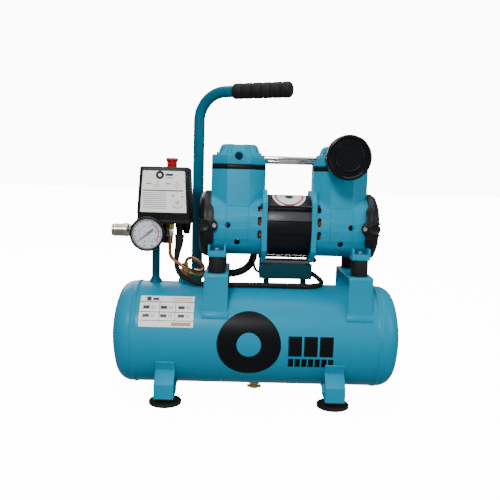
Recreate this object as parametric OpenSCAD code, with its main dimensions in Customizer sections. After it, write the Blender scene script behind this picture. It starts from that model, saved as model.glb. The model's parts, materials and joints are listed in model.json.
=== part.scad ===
// Twin-cylinder oil-free air compressor on a small horizontal tank.
// Millimetres. X runs along the tank, Y from front to back, Z up; the floor is z = 0.

/* [Tank] */
// Length of the tank over both dished heads
tank_len = 471; // [440:1:570]
// Outer diameter of the tank
tank_d = 166; // [150:1:200]
// Wall thickness of the shell and heads
tank_wall = 2.5; // [2:0.1:4]
// Depth of one dished head
head_depth = 35; // [30:1:45]
// Corner radius of a dished head
knuckle_r = 25; // [18:1:28]
// Height of the tank's underside above the floor
ground_gap = 18; // [17:1:30]

/* [Feet and saddles] */
// Distance between the left and right feet
foot_pitch = 266; // [220:1:300]
// Offset of the feet from the tank's middle
foot_shift = -9; // [-15:1:15]
// Width of a foot strip
foot_w = 31; // [24:1:40]
// Thickness of the foot and saddle sheet
sheet_t = 3; // [2:0.5:4]
// Height of the foot plate above the floor
foot_plate_z = 14.3; // [12:0.1:16]
// How far a foot stands out past the side of the tank
foot_overhang = 11.5; // [8:0.5:16]
// Radius of a rubber foot
pad_r = 25.9; // [20:0.1:26]
// Width of a saddle along the tank
saddle_w = 37.8; // [32:0.1:46]
// Depth of a saddle from front to back
saddle_d = 141.9; // [130:0.1:146]
// Height of a saddle's top above the tank
saddle_rise = 24.5; // [22:0.5:36]

/* [Pump] */
// Place of the pump's middle along the tank
pump_x = 47.5; // [30:0.5:60]
// Distance between the two cylinder axes
cylinder_pitch = 164.4; // [160:0.2:200]
// Distance between the rubber mounts along the tank
mount_pitch_x = 226; // [222:1:262]
// Distance between the rubber mounts from front to back
mount_pitch_y = 96; // [90:1:104]
// Height of a rubber mount
mount_h = 26; // [20:0.5:35]
// Diameter of a rubber mount
mount_d = 27; // [20:0.5:30]
// Outer radius of a crankcase
case_r = 50; // [50:0.5:56]
// Wall of a crankcase
case_wall = 4.5; // [3.5:0.1:5]
// Length of the stator
stator_len = 70; // [60:1:70]
// Outer radius of the stator
stator_r = 49.5; // [46:0.5:49.5]
// Bore radius of the stator
stator_bore_r = 32; // [30:0.5:33]
// Radius of the shaft in its bearings
shaft_r = 7.5; // [7:0.5:8]
// Cylinder bore diameter
cylinder_bore = 54; // [45:0.5:54]
// Piston stroke
stroke = 14; // [10:0.5:14]
// Height of the cylinder deck above the shaft
deck_h = 88.5; // [86:0.5:110]

/* [Handle] */
// Outer diameter of the handle tube
handle_d = 19; // [15.5:0.1:20]
// Place of the handle post along the tank
post_x = -105; // [-110:0.5:-105]
// Place of the handle post behind the tank's middle
post_y = 62; // [62:0.5:66]
// Height of the handle's arm above the tank
arm_rise = 317; // [300:1:400]
// Angle of the arm away from the tank's axis
arm_turn = 24; // [10:1:30]
// Radius of the handle's bend
bend_r = 48; // [35:1:60]
// Length of the rubber grip
grip_len = 102; // [90:1:120]
// Outer diameter of the grip
grip_d = 26; // [24:0.5:30]

/* [Controls] */
// Height of the regulator block's middle above the tank
block_rise = 86; // [78:1:116]
// Width of the pressure switch at its base
switch_w = 84; // [80:1:84]
// Depth of the pressure switch
switch_d = 68; // [60:1:70]
// Height of the pressure switch's cover
switch_h = 82; // [74:1:100]
// Radius of the gauge's bezel
gauge_r = 26.2; // [20:0.1:27]
// Radius of the coupler's socket
socket_r = 5.1; // [4:0.1:5.5]
// Travel of the coupler's sleeve
sleeve_travel = 4; // [2:0.5:4]
// Travel of the red switch knob
knob_travel = 6; // [3:0.5:7]

/* [Fits] */
// Radial clearance of a running fit
running = 0.05; // [0.02:0.01:0.1]
// Radial clearance of a screw or tube in its hole
slip = 0.1; // [0.05:0.05:0.3]
// Gap of a welded or glued piece from the surface under it
seat_gap = 0.1; // [0.05:0.05:0.3]
// Gap of a loose moving piece from its neighbour
loose = 0.5; // [0.3:0.1:1]

/* [Hidden] */
$fn = 48;

teal = [0.0, 0.45, 0.58];
dark_teal = [0.0, 0.25, 0.33];
rubber = [0.06, 0.06, 0.06];
steel = [0.7, 0.7, 0.72];
brass = [0.75, 0.6, 0.3];

// Tank
tank_r = tank_d / 2;
tank_z = ground_gap + tank_r;
skirt = 6;
weld_h = 1.2;
weld_w = 5;
shell_half = tank_len / 2 - head_depth - skirt;
port_r = 6;
bung_r = 11;
bung_h = 6;
drain_hex_h = 5;
drain_stem_r = 3;

// Height of the tank's surface at a distance from its middle plane
function tank_top(y) = tank_z + sqrt(tank_r * tank_r - y * y);

// Feet
foot_reach = tank_r + foot_overhang;
foot_xs = [foot_shift - foot_pitch / 2, foot_shift + foot_pitch / 2];
pad_y = foot_reach - pad_r - 0.3;
pad_h = 6;
pad_neck_r = 12;
foot_bolt_r = 3;
foot_bolt_recess = 3;

// Saddles and mounts
saddle_z = tank_z + tank_r + saddle_rise;
mount_xs = [pump_x - mount_pitch_x / 2, pump_x + mount_pitch_x / 2];
mount_ys = [-mount_pitch_y / 2, mount_pitch_y / 2];
stud_r = 3;
lug_z = saddle_z + mount_h;
lug_t = 9;
lug_w = 28;
lug_wall = 3;
lug_h = 18;

// Pump, measured from its middle along the shaft
axis_z = lug_z + 48.5;
plate_t = 8;
plate_in = stator_len / 2;
plate_out = plate_in + plate_t;
cyl_t = cylinder_pitch / 2;
tower_w = 87;
tower_d = 78;
tower_cut_x = 26;
tower_cut_y = 22;
case_out = cyl_t + 44.8;
case_in_r = case_r - case_wall;
bearing_r = 17.5;
bearing_w = 11;
wall_in = plate_out + 14;
bearing_in = wall_in + 2;
wall_out = bearing_in + bearing_w;
air_gap = 0.5;
end_r = 6;
crank_e = stroke / 2;
journal_r = 15;
journal_w = 14;
ring_w = 13;
ring_in = journal_r + 2 * crank_e + loose;
ring_out = ring_in + 4;
bore_r = cylinder_bore / 2;
sleeve_wall = 2.5;
sleeve_len = 34;
deck_z = axis_z + deck_h;
piston_t = 12;
deck_gap = 0.5;
piston_z = deck_z - deck_gap - crank_e;
plate_h = 5.8;
gasket_h = 2;
head_z = deck_z + plate_h + gasket_h;
head_base_h = 15.2;
dome_h = 16.5;
head_bolt_r = 2.5;
head_bolt_at = [32, 19];
port_z = head_z + 12.7;
suction_port_r = 6.2;
outlet_port_r = 5;
port_boss_r = 9.5;
chamber = [40, 18];
chamber_y = 12.5;
chamber_top = 19.5;
tube_r = 4;
tube_seat = 8;
tube_places = [[-16, 11], [16, 7]];
fan_in = case_out - 9;
fan_w = 9;
fan_hub_r = 12;
fan_r = case_in_r - 3;
cover_t = 2.5;
cover_r = case_r + 4;
cover_out = case_out + 17;
tab_r = 11;
tie_r = 2;
tie_low = [22, -54.5];
tie_high = [44, 32];

filter_r = 33.5;
filter_back = -tower_d / 2 - 13;
filter_front = -94;
filter_wall = 2;
spigot = 25;

// Place along the tank of a pump piece: side -1 is the left one, +1 the right one
function side_x(side, t) = pump_x + side * t;

// Handle
arm_z = tank_z + tank_r + arm_rise;
handle_wall = 1.5;
handle_r = handle_d / 2;
grip_start = 65;
grip_cap = 4;

// Controls
block_z = tank_z + tank_r + block_rise;
riser_x = -168;
riser_r = 6.6;
block_x = -170;
block_y = [-50, 12];
block_half = 15;
block_top = block_z + block_half;
nipple = [-163, -28];
nipple_r = 6.5;
base_h = 5;
cover_z = block_top + base_h;
switch_x = -148.5;
switch_y = -34;
switch_taper = 4.5;
switch_wall = 2.5;
knob_at = [-139, -40];
knob_r = 7.9;
knob_flange_r = 9.6;
coupler_y = -35;
coupler_z = block_z + 1;
coupler_end = -233;
coupler_thread_r = 6;
coupler_hex_end = 16;
coupler_lip = 3;
socket_len = 18;
sleeve_r = 10.4;
coupler_r = 8.4;
regulator_y = -30;
regulator_z = block_z - 3;
regulator_r = 16.5;
gauge_z = block_z;
gauge_back = switch_y - switch_d / 2 - 1.5;
gauge_front = gauge_back - 21.5;
needle_zero = 219;
gland_at = [[-125.5, -42], [-115.5, -28]];
gland_r = 6.3;
gland_h = 18;
unloader_at = [-139, -54];
valve_at = [-120, 5];
valve_z = tank_top(valve_at[1]);
safety_at = [-176, 0];

// Capacitor box
box_x = [3, 89];
box_y = [-16, 36];
box_h = 24;
box_top = axis_z - stator_r - 14;
box_wall = 1.5;
box_leg_w = 9;
capacitor_r = 10;
capacitor_len = 52;

// Hose, pipe and cables
hose_r = 6.5;
elbow_y = 64;
elbow_drop = 14;
pipe_r = 2.8;
cable_r = 4;
cable_hole = [8, 8];
lead_r = 2.2;
lead_t = 53.5;
lead_y = -12;
lead_hole = [-10, 10.5];
steps = 4;

// A point list for an arc in the plane
function arc(cx, cy, r, a0, a1, n) =
  [for (i = [0:n]) let (a = a0 + (a1 - a0) * i / n) [cx + r * cos(a), cy + r * sin(a)]];

// Dished outline from the seam to the crown, as radius and depth
function dish(r, h, k) =
  let (c = ((r - k) * (r - k) + h * h - k * k) / (2 * (h - k)),
       a = atan2(c - h, r - k))
  concat(arc(r - k, 0, k, 0, a, 10), arc(0, h - c, c, a, 90, 8));

function reversed(list) = [for (i = [len(list) - 1:-1:0]) list[i]];

// Rounded path through hand-placed points
function spline_point(p, i, u) =
  let (n = len(p), a = p[max(i - 1, 0)], b = p[i], c = p[i + 1], d = p[min(i + 2, n - 1)])
  0.5 * (2 * b + (c - a) * u + (2 * a - 5 * b + 4 * c - d) * u * u
         + (3 * b - a - 3 * c + d) * u * u * u);

function smooth_path(p, steps) =
  concat([for (i = [0:len(p) - 2]) for (k = [0:steps - 1]) spline_point(p, i, k / steps)],
         [p[len(p) - 1]]);

function unit(v) = v / norm(v);

function heading(p, i) = unit(p[min(i + 1, len(p) - 1)] - p[max(i - 1, 0)]);

function level(side, t) = unit(side - (side * t) * t);

function ring_sides(p, side, i = 0) =
  i == len(p) ? [] :
  let (s = level(side, heading(p, i))) concat([s], ring_sides(p, s, i + 1));

// A round tube swept along a path
module sweep(path, r, sides = 10) {
  n = len(path);
  lead = ring_sides(path, abs(heading(path, 0)[2]) > 0.9 ? [1, 0, 0] : [0, 0, 1]);
  points = [for (i = [0:n - 1]) for (k = [0:sides - 1])
    let (a = 360 * k / sides)
    path[i] + r * (cos(a) * lead[i] + sin(a) * cross(heading(path, i), lead[i]))];
  walls = [for (i = [0:n - 2]) for (k = [0:sides - 1])
    let (m = (k + 1) % sides)
    [i * sides + k, (i + 1) * sides + k, (i + 1) * sides + m, i * sides + m]];
  polyhedron(points, concat(walls, [[for (k = [0:sides - 1]) k]],
                            [[for (k = [sides - 1:-1:0]) (n - 1) * sides + k]]));
}

// A flat strip through points in the plane
module strip(points, t) {
  for (i = [0:len(points) - 2]) {
    d = points[i + 1] - points[i];
    translate(points[i]) rotate(atan2(d[1], d[0])) translate([0, -t / 2]) square([norm(d), t]);
    translate(points[i]) circle(d = t, $fn = 24);
  }
  translate(points[len(points) - 1]) circle(d = t, $fn = 24);
}

// Turns an outline drawn in Y and Z into a slab along X
module along_x(x0, x1) {
  translate([x0, 0, 0]) rotate([90, 0, 90]) linear_extrude(x1 - x0) children();
}

module rod_x(x0, x1, y, z, r) {
  translate([x0, y, z]) rotate([0, 90, 0]) cylinder(h = x1 - x0, r = r);
}

module rod_y(x, y0, y1, z, r) {
  translate([x, y0, z]) rotate([-90, 0, 0]) cylinder(h = y1 - y0, r = r);
}

module rod_z(x, y, z0, z1, r) {
  translate([x, y, z0]) cylinder(h = z1 - z0, r = r);
}

module tube_z(x, y, z0, z1, r, bore) {
  difference() {
    rod_z(x, y, z0, z1, r);
    rod_z(x, y, z0 - 1, z1 + 1, bore);
  }
}

module hex_z(x, y, z0, z1, flats) {
  translate([x, y, z0]) cylinder(h = z1 - z0, r = flats / sqrt(3), $fn = 6);
}

// Mirrors a right-hand pump piece to the chosen side
module pump_side(side) {
  translate([pump_x, 0, axis_z]) mirror([side < 0 ? 1 : 0, 0, 0]) children();
}

/* Tank */

module tank_body(r) {
  rod_x(-tank_len, tank_len, 0, tank_z, r);
}

module bung(x, y) {
  difference() {
    rod_z(x, y, tank_z + tank_r * 0.8, tank_top(y) + bung_h, bung_r);
    tank_body(tank_r - tank_wall);
    rod_z(x, y, tank_z, tank_z + 2 * tank_r, port_r);
  }
}

module tank_shell() {
  color(teal) {
    difference() {
      rod_x(-shell_half, shell_half, 0, tank_z, tank_r);
      rod_x(-shell_half - 1, shell_half + 1, 0, tank_z, tank_r - tank_wall);
      rod_z(riser_x, 0, tank_z, tank_z + 2 * tank_r, port_r - 1);
      rod_z(valve_at[0], valve_at[1], tank_z, tank_z + 2 * tank_r, port_r);
      rod_z(0, 0, 0, tank_z, port_r);
    }
    bung(valve_at[0], valve_at[1]);
  }
}

module tank_heads() {
  outer = dish(tank_r, head_depth, knuckle_r);
  inner = dish(tank_r - tank_wall, head_depth - tank_wall, knuckle_r - tank_wall);
  color(teal) for (side = [-1, 1]) mirror([side < 0 ? 1 : 0, 0, 0])
    translate([shell_half + skirt, 0, tank_z]) rotate([0, 90, 0]) rotate_extrude()
      polygon(concat([[tank_r - tank_wall, -skirt], [tank_r, -skirt],
                      [tank_r + weld_h, -skirt + 1], [tank_r + weld_h, -skirt + weld_w - 1],
                      [tank_r, -skirt + weld_w]],
                     outer, reversed(inner)));
}

module saddles() {
  tab_w = saddle_w + 3;
  color(teal) for (x = mount_xs) {
    difference() {
      along_x(x - saddle_w / 2, x + saddle_w / 2) difference() {
        saddle_outline(saddle_d / 2, saddle_z, 5);
        saddle_outline(saddle_d / 2 - sheet_t, saddle_z - sheet_t, 2);
        translate([0, tank_z]) circle(r = tank_r + seat_gap, $fn = 96);
      }
      for (y = mount_ys) rod_z(x, y, saddle_z - sheet_t - 1, saddle_z + 1, stud_r + slip);
    }
    along_x(x - tab_w / 2, x + tab_w / 2) intersection() {
      difference() {
        translate([0, tank_z]) circle(r = tank_r + sheet_t, $fn = 96);
        translate([0, tank_z]) circle(r = tank_r + seat_gap, $fn = 96);
      }
      for (s = [-1, 1]) translate([s * (saddle_d / 2 - 1), tank_top(saddle_d / 2) + 2])
        square([9, 14], center = true);
    }
  }
}

// Outline of a saddle with rounded top corners, open to the tank's middle
module saddle_outline(half, top, r) {
  translate([-half, tank_z]) square([2 * half, top - r - tank_z]);
  translate([-half + r, tank_z]) square([2 * (half - r), top - tank_z]);
  for (s = [-1, 1]) translate([s * (half - r), top - r]) circle(r = r, $fn = 32);
}

module foot_outline() {
  mid = tank_r + sheet_t / 2;
  on_tank = [for (a = [22, 33]) [-mid * cos(a), tank_z - mid * sin(a)]];
  under_tank = [for (a = [60, 68]) [-mid * cos(a), tank_z - mid * sin(a)]];
  out = -foot_reach + sheet_t / 2;
  base = foot_plate_z + sheet_t / 2;
  difference() {
    strip(concat(on_tank, [[out, base + 21.5], [out, base], [under_tank[0][0] - 9, base]],
                 under_tank), sheet_t);
    translate([0, tank_z]) circle(r = tank_r + seat_gap, $fn = 96);
  }
}

module foot_brackets() {
  color(teal) for (x = foot_xs) for (s = [0, 1]) mirror([0, s, 0]) difference() {
    along_x(x - foot_w / 2, x + foot_w / 2) foot_outline();
    rod_z(x, -pad_y, 0, foot_plate_z + 2 * sheet_t, foot_bolt_r + slip);
  }
}

module rubber_feet() {
  color(rubber) for (x = foot_xs) for (y = [-pad_y, pad_y]) difference() {
    translate([x, y, 0]) rotate_extrude() polygon([[0, 0], [pad_r - 1, 0], [pad_r, 1],
      [pad_r, pad_h - 1], [pad_r - 1, pad_h], [pad_neck_r + 3, pad_h + 1.5],
      [pad_neck_r, foot_plate_z], [0, foot_plate_z]]);
    rod_z(x, y, -1, foot_bolt_recess + 3, 6);
    rod_z(x, y, 0, foot_plate_z + 1, foot_bolt_r + slip);
  }
}

module foot_bolts() {
  top = foot_plate_z + sheet_t;
  color(steel) for (x = foot_xs) for (y = [-pad_y, pad_y]) {
    rod_z(x, y, foot_bolt_recess, foot_bolt_recess + 3, 5.5);
    rod_z(x, y, foot_bolt_recess + 2, top + 7, foot_bolt_r);
    hex_z(x, y, top, top + 5, 10);
  }
}

module check_valve() {
  thread = bung_h + 6;
  hex_h = 16;
  inlet_z = 8;
  collar = 3;
  passage_r = 3.5;
  translate([valve_at[0], valve_at[1], valve_z + bung_h]) color(brass) difference() {
    union() {
      rod_z(0, 0, -thread, 0, port_r);
      hex_z(0, 0, 0, hex_h, 18);
      rod_x(0, 14, 0, inlet_z, hose_r);
      rod_z(0, 0, hex_h, hex_h + collar, 6);
    }
    rod_z(0, 0, -thread - 1, inlet_z + 2, passage_r);
    rod_z(0, 0, hex_h - 4, hex_h + collar + 1, pipe_r + 0.2 + slip);
    rod_x(4, 15, 0, inlet_z, 4);
  }
}

module drain_valve_body() {
  translate([0, 0, ground_gap]) color(brass) difference() {
    union() {
      rod_z(0, 0, -drain_hex_h + 1, 8, port_r);
      hex_z(0, 0, -drain_hex_h, 0, 16);
    }
    rod_z(0, 0, -drain_hex_h - 1, 9, drain_stem_r);
  }
}

module drain_valve_knob() {
  wing = [24, 3, 5];
  bottom = -12;
  translate([0, 0, ground_gap]) color(brass) {
    rod_z(0, 0, bottom + 3, 6, drain_stem_r - running);
    rod_z(0, 0, bottom, -drain_hex_h - loose, 7);
    translate([-wing[0] / 2, -wing[1] / 2, bottom]) cube(wing);
  }
}

module riser_pipe() {
  color(teal) difference() {
    union() {
      rod_z(riser_x, 0, tank_z, block_z - 8, riser_r);
      translate([riser_x, 0, tank_z + tank_r - 2])
        cylinder(h = 5, r1 = riser_r + 6, r2 = riser_r);
    }
    tank_body(tank_r + seat_gap);
    rod_z(riser_x, 0, tank_z, block_z, riser_r - 1.6);
  }
}

/* Handle */

module on_handle() {
  translate([post_x, post_y, 0]) rotate([0, 0, -arm_turn]) children();
}

module handle_path(r) {
  translate([0, 0, tank_z]) cylinder(h = arm_z - bend_r - tank_z, r = r);
  translate([bend_r, 0, arm_z - bend_r]) rotate([90, 0, 0]) rotate([0, 0, 90])
    rotate_extrude(angle = 90) translate([bend_r, 0]) circle(r = r);
  translate([bend_r, 0, arm_z]) rotate([0, 90, 0])
    cylinder(h = grip_start + grip_len - grip_cap - bend_r, r = r);
}

module handle_tube() {
  color(teal) difference() {
    on_handle() difference() {
      handle_path(handle_r);
      handle_path(handle_r - handle_wall);
      translate([grip_start + grip_len - grip_cap - 1, 0, arm_z]) rotate([0, 90, 0])
        cylinder(h = 3, r = handle_r - handle_wall);
    }
    tank_body(tank_r + seat_gap);
  }
}

module handle_grip() {
  groove = 1.6;
  segment = grip_len / 6;
  color(rubber) on_handle() translate([grip_start, 0, arm_z]) rotate([0, 90, 0])
    difference() {
      rotate_extrude() polygon(concat([[0, 0], [grip_d / 2 - 2, 0]],
        arc(grip_d / 2 - 2, 2, 2, -90, 0, 4),
        arc(grip_d / 2 - 6, grip_len - 6, 6, 0, 90, 6), [[0, grip_len]]));
      translate([0, 0, -1]) cylinder(h = grip_len - grip_cap + 1, r = handle_r + running);
      for (i = [1:5]) translate([0, 0, i * segment]) rotate_extrude()
        polygon([[grip_d / 2 - groove, -1], [grip_d / 2 + 1, -1.8],
                 [grip_d / 2 + 1, 1.8], [grip_d / 2 - groove, 1]]);
    }
}

module rating_plate() {
  plate_x = [-184, -99];
  angles = [17, 54];
  color("white") along_x(plate_x[0], plate_x[1]) translate([0, tank_z])
    polygon(concat(arc(0, 0, tank_r + 2 * seat_gap, 180 - angles[0], 180 - angles[1], 16),
                   arc(0, 0, tank_r + 0.6, 180 - angles[1], 180 - angles[0], 16)));
}

/* Pump mounts */

module vibration_mounts() {
  color(rubber) for (x = mount_xs) for (y = mount_ys)
    tube_z(x, y, saddle_z, lug_z, mount_d / 2, stud_r);
}

module mount_screws() {
  color(steel) for (x = mount_xs) for (y = mount_ys) {
    rod_z(x, y, saddle_z - sheet_t - 7, saddle_z + 10, stud_r);
    hex_z(x, y, saddle_z - sheet_t - 5, saddle_z - sheet_t, 10);
    rod_z(x, y, lug_z - 10, lug_z + lug_t + 4, stud_r);
    rod_z(x, y, lug_z + lug_t, lug_z + lug_t + 4, 5.5);
  }
}

/* Crankcases */

// Plan outline of a cylinder tower, its plate and its head
module tower_plan(grow = 0) {
  w = tower_w / 2 + grow;
  d = tower_d / 2 + grow;
  a = w - tower_cut_x;
  b = d - tower_cut_y;
  polygon([[w, b], [a, d], [-a, d], [-w, b], [-w, -b], [-a, -d], [a, -d], [w, -b]]);
}

module end_plate() {
  along_x(plate_in, plate_out) difference() {
    union() {
      intersection() {
        translate([-case_r, -case_r]) square([2 * case_r, 2 * case_r + 7]);
        circle(r = case_r + 13);
      }
      for (s = [-1, 1]) translate([s * tie_low[0], tie_low[1] / 2 - 1])
        square([8, -tie_low[1]], center = true);
      for (s = [-1, 1]) translate([s * tie_low[0], tie_low[1]]) circle(r = 4);
      for (s = [-1, 1]) translate([s * tie_high[0], tie_high[1]]) circle(r = 5);
    }
    circle(r = stator_r - 6);
    for (s = [-1, 1]) for (p = [tie_low, tie_high])
      translate([s * p[0], p[1]]) circle(r = tie_r + slip);
  }
}

module case_slot(y, z, h) {
  translate([plate_out + 4, y, z]) {
    translate([0, 0, -h / 2 + 3]) rotate([90, 0, 0]) cylinder(h = 30, r = 3);
    translate([0, 0, h / 2 - 3]) rotate([90, 0, 0]) cylinder(h = 30, r = 3);
    translate([-3, -30, -h / 2 + 3]) cube([6, 30, h - 6]);
  }
}

module lug(y) {
  t = mount_pitch_x / 2;
  base = lug_z - axis_z;
  difference() {
    translate([t - lug_w / 2, y - lug_w / 2, base]) cube([lug_w, lug_w, lug_h]);
    translate([t - lug_w / 2 + lug_wall, y - lug_w / 2 - 1, base + lug_t])
      cube([lug_w - 2 * lug_wall, lug_w + 2, lug_h]);
    rod_z(t, y, base - 1, base + lug_t + 1, stud_r + slip);
  }
}

// One crankcase for the right-hand side: end plate, round case, tower and mounting lugs
module crankcase() {
  difference() {
    union() {
      end_plate();
      rod_x(plate_out - 1, case_out, 0, 0, case_r);
      translate([cyl_t, 0, 0]) linear_extrude(deck_h) tower_plan();
      for (y = mount_ys) lug(y);
    }
    rod_x(plate_in - 1, plate_out + 1, 0, 0, stator_r - 6);
    rod_x(plate_out, wall_in, 0, 0, case_in_r);
    rod_x(wall_in - 1, bearing_in, 0, 0, bearing_r - 4);
    rod_x(bearing_in, wall_out + 1, 0, 0, bearing_r + running);
    rod_x(wall_out, case_out + 1, 0, 0, case_in_r);
    rod_z(cyl_t, 0, 0, deck_h - sleeve_len, bore_r + 1);
    rod_z(cyl_t, 0, deck_h - sleeve_len, deck_h + 1, bore_r + sleeve_wall);
    for (sx = [-1, 1]) for (sy = [-1, 1])
      rod_z(cyl_t + sx * head_bolt_at[0], sy * head_bolt_at[1], deck_h - 14, deck_h + 1,
            head_bolt_r + slip);
    for (y = [-1, 1]) mirror([0, y > 0 ? 1 : 0, 0]) {
      case_slot(-25, 27, 9);
      case_slot(-25, 8, 14);
      case_slot(-25, -13, 14);
      rod_y(cyl_t + 15, -case_r - 5, -case_in_r + 12, 1, 4.5);
      rod_y(cyl_t, -case_r - 5, -20, -26, 4.5);
      rod_y(case_out - 9, -case_r - 5, -30, 0, 1.5 + slip);
    }
    rod_z(lead_t, lead_y, -case_r - 1, -30, lead_r + slip);
  }
}

module crankcase_left() {
  color(teal) pump_side(-1) crankcase();
}

module crankcase_right() {
  color(teal) pump_side(1) crankcase();
}

module motor_stator() {
  groove = 1.2;
  color([0.08, 0.08, 0.09]) translate([pump_x, 0, axis_z]) difference() {
    rod_x(-stator_len / 2, stator_len / 2, 0, 0, stator_r);
    rod_x(-stator_len, stator_len, 0, 0, stator_bore_r);
    for (a = [10, 35, 145, 170, 215, 325]) rotate([a, 0, 0])
      translate([-stator_len, stator_r - groove, -1]) cube([2 * stator_len, 4, 2]);
    for (s = [-1, 1]) rod_x(-stator_len, stator_len, s * tie_high[0], tie_high[1], tie_r + loose);
  }
}

module stator_windings() {
  inner = stator_bore_r + 2;
  outer = stator_r - 7;
  color([0.72, 0.38, 0.2]) for (side = [-1, 1]) pump_side(side)
    translate([plate_in, 0, 0]) rotate([0, 90, 0]) rotate_extrude()
      polygon([[inner, 0], [outer, 0], [outer, 15], [outer - 2.5, 18], [inner + 2.5, 18],
               [inner, 15]]);
}

module rotor_core() {
  color(steel) difference() {
    rod_x(pump_x - stator_len / 2, pump_x + stator_len / 2, 0, axis_z, stator_bore_r - air_gap);
    rod_x(pump_x - stator_len, pump_x + stator_len, 0, axis_z, shaft_r);
  }
}

module crankshaft() {
  color(steel) {
    rod_x(side_x(-1, wall_out + 2), side_x(1, wall_out + 2), 0, axis_z, shaft_r);
    rod_x(side_x(-1, fan_in + fan_w + 2), side_x(1, fan_in + fan_w + 2), 0, axis_z, end_r);
  }
}

// The left journal stands up and the right one hangs down
module eccentrics() {
  color([0.5, 0.5, 0.52]) for (side = [-1, 1]) translate([0, 0, -side * crank_e])
    difference() {
      pump_side(side) rod_x(cyl_t - journal_w / 2, cyl_t + journal_w / 2, 0, 0, journal_r);
      translate([0, 0, side * crank_e]) pump_side(side) rod_x(0, 2 * cyl_t, 0, 0, end_r);
    }
}

module cooling_fans() {
  blades = 7;
  color([0.15, 0.15, 0.16]) for (side = [-1, 1]) pump_side(side) difference() {
    union() {
      rod_x(fan_in, fan_in + fan_w, 0, 0, fan_hub_r);
      intersection() {
        difference() {
          rod_x(fan_in, fan_in + fan_w, 0, 0, fan_r);
          rod_x(fan_in - 1, fan_in + fan_w + 1, 0, 0, fan_hub_r - 1);
        }
        for (i = [0:blades - 1]) rotate([i * 360 / blades, 0, 0])
          translate([fan_in + fan_w / 2, 0, 0]) rotate([0, 0, 35])
            translate([-10, -1, 0]) cube([20, 2, fan_r + 1]);
      }
    }
    rod_x(fan_in - 1, fan_in + fan_w + 1, 0, 0, end_r);
  }
}

module shaft_bearings() {
  color([0.8, 0.8, 0.82]) for (side = [-1, 1]) pump_side(side) difference() {
    rod_x(bearing_in, wall_out, 0, 0, bearing_r);
    rod_x(bearing_in - 1, wall_out + 1, 0, 0, shaft_r + running);
    for (x = [bearing_in - 0.2, wall_out - 0.8]) difference() {
      rod_x(x, x + 1, 0, 0, bearing_r - 3);
      rod_x(x - 1, x + 2, 0, 0, shaft_r + 3);
    }
  }
}

/* Pistons and cylinders */

// Height of a piston above its middle place: the left one is up, the right one down
function piston_lift(side) = -side * crank_e;

module piston_rod(side) {
  lift = piston_lift(side);
  top = piston_z - axis_z + lift;
  color([0.75, 0.75, 0.78]) pump_side(side) translate([cyl_t, 0, 0]) {
    difference() {
      union() {
        rod_x(-ring_w / 2, ring_w / 2, 0, lift, ring_out);
        translate([-ring_w / 2, -8, lift]) cube([ring_w, 16, top - lift - piston_t + 1]);
      }
      rod_x(-ring_w, ring_w, 0, lift, ring_in);
    }
    rod_z(0, 0, top - piston_t, top - 5, bore_r - 2);
    rod_z(0, 0, top - 5.5, top, bore_r - 6);
  }
}

module piston_rod_left() {
  piston_rod(-1);
}

module piston_rod_right() {
  piston_rod(1);
}

module piston_seal(side) {
  top = piston_z - axis_z + piston_lift(side);
  color([0.3, 0.25, 0.2]) pump_side(side) translate([cyl_t, 0, 0])
    tube_z(0, 0, top - 5, top - 1, bore_r - running, bore_r - 6);
}

module piston_seal_left() {
  piston_seal(-1);
}

module piston_seal_right() {
  piston_seal(1);
}

module cylinder_sleeves() {
  color([0.8, 0.8, 0.82]) for (side = [-1, 1])
    tube_z(side_x(side, cyl_t), 0, deck_z - sleeve_len, deck_z, bore_r + sleeve_wall, bore_r);
}

module over_towers(z0, z1) {
  for (side = [-1, 1]) translate([side_x(side, cyl_t), 0, z0]) difference() {
    linear_extrude(z1 - z0) children();
    head_bolt_holes(z1 - z0, head_bolt_r + slip);
  }
}

module head_bolt_holes(h, r) {
  for (sx = [-1, 1]) for (sy = [-1, 1])
    rod_z(sx * head_bolt_at[0], sy * head_bolt_at[1], -1, h + 1, r);
}

module valve_plates() {
  color([0.12, 0.12, 0.12]) difference() {
    over_towers(deck_z, deck_z + plate_h) tower_plan();
    for (side = [-1, 1]) for (y = [-12, 12]) for (x = [-6, 6])
      rod_z(side_x(side, cyl_t) + x, y, deck_z - 1, deck_z + plate_h + 1, 3);
  }
}

module head_gaskets() {
  color(rubber) difference() {
    over_towers(deck_z + plate_h, head_z) tower_plan();
    for (side = [-1, 1]) translate([side_x(side, cyl_t), 0, 0]) over_chambers(deck_z, head_z + 1);
  }
}

// The suction chamber in front and the discharge chamber behind it
module over_chambers(z0, z1) {
  for (s = [-1, 1]) translate([-chamber[0] / 2, s * chamber_y - chamber[1] / 2, z0])
    cube([chamber[0], chamber[1], z1 - z0]);
}

// Sloped and grooved top of a cylinder head
module head_dome() {
  w = 34.5;
  d = 30;
  lean = 7;
  difference() {
    intersection() {
      rotate([90, 0, 0]) translate([0, 0, -d]) linear_extrude(2 * d)
        polygon([[-w, 0], [w, 0], [w - lean, dome_h], [lean - w, dome_h]]);
      rotate([90, 0, 90]) translate([0, 0, -w]) linear_extrude(2 * w)
        polygon([[-d, 0], [d, 0], [d - lean, dome_h], [lean - d, dome_h]]);
      linear_extrude(dome_h) polygon([[w, d - 20], [w - 20, d], [20 - w, d], [-w, d - 20],
                                      [-w, 20 - d], [20 - w, -d], [w - 20, -d], [w, 20 - d]]);
    }
    for (i = [-2:2]) translate([i * 11.5 - 1.75, -d - 1, 7]) cube([3.5, 2 * d + 2, dome_h]);
  }
}

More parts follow.
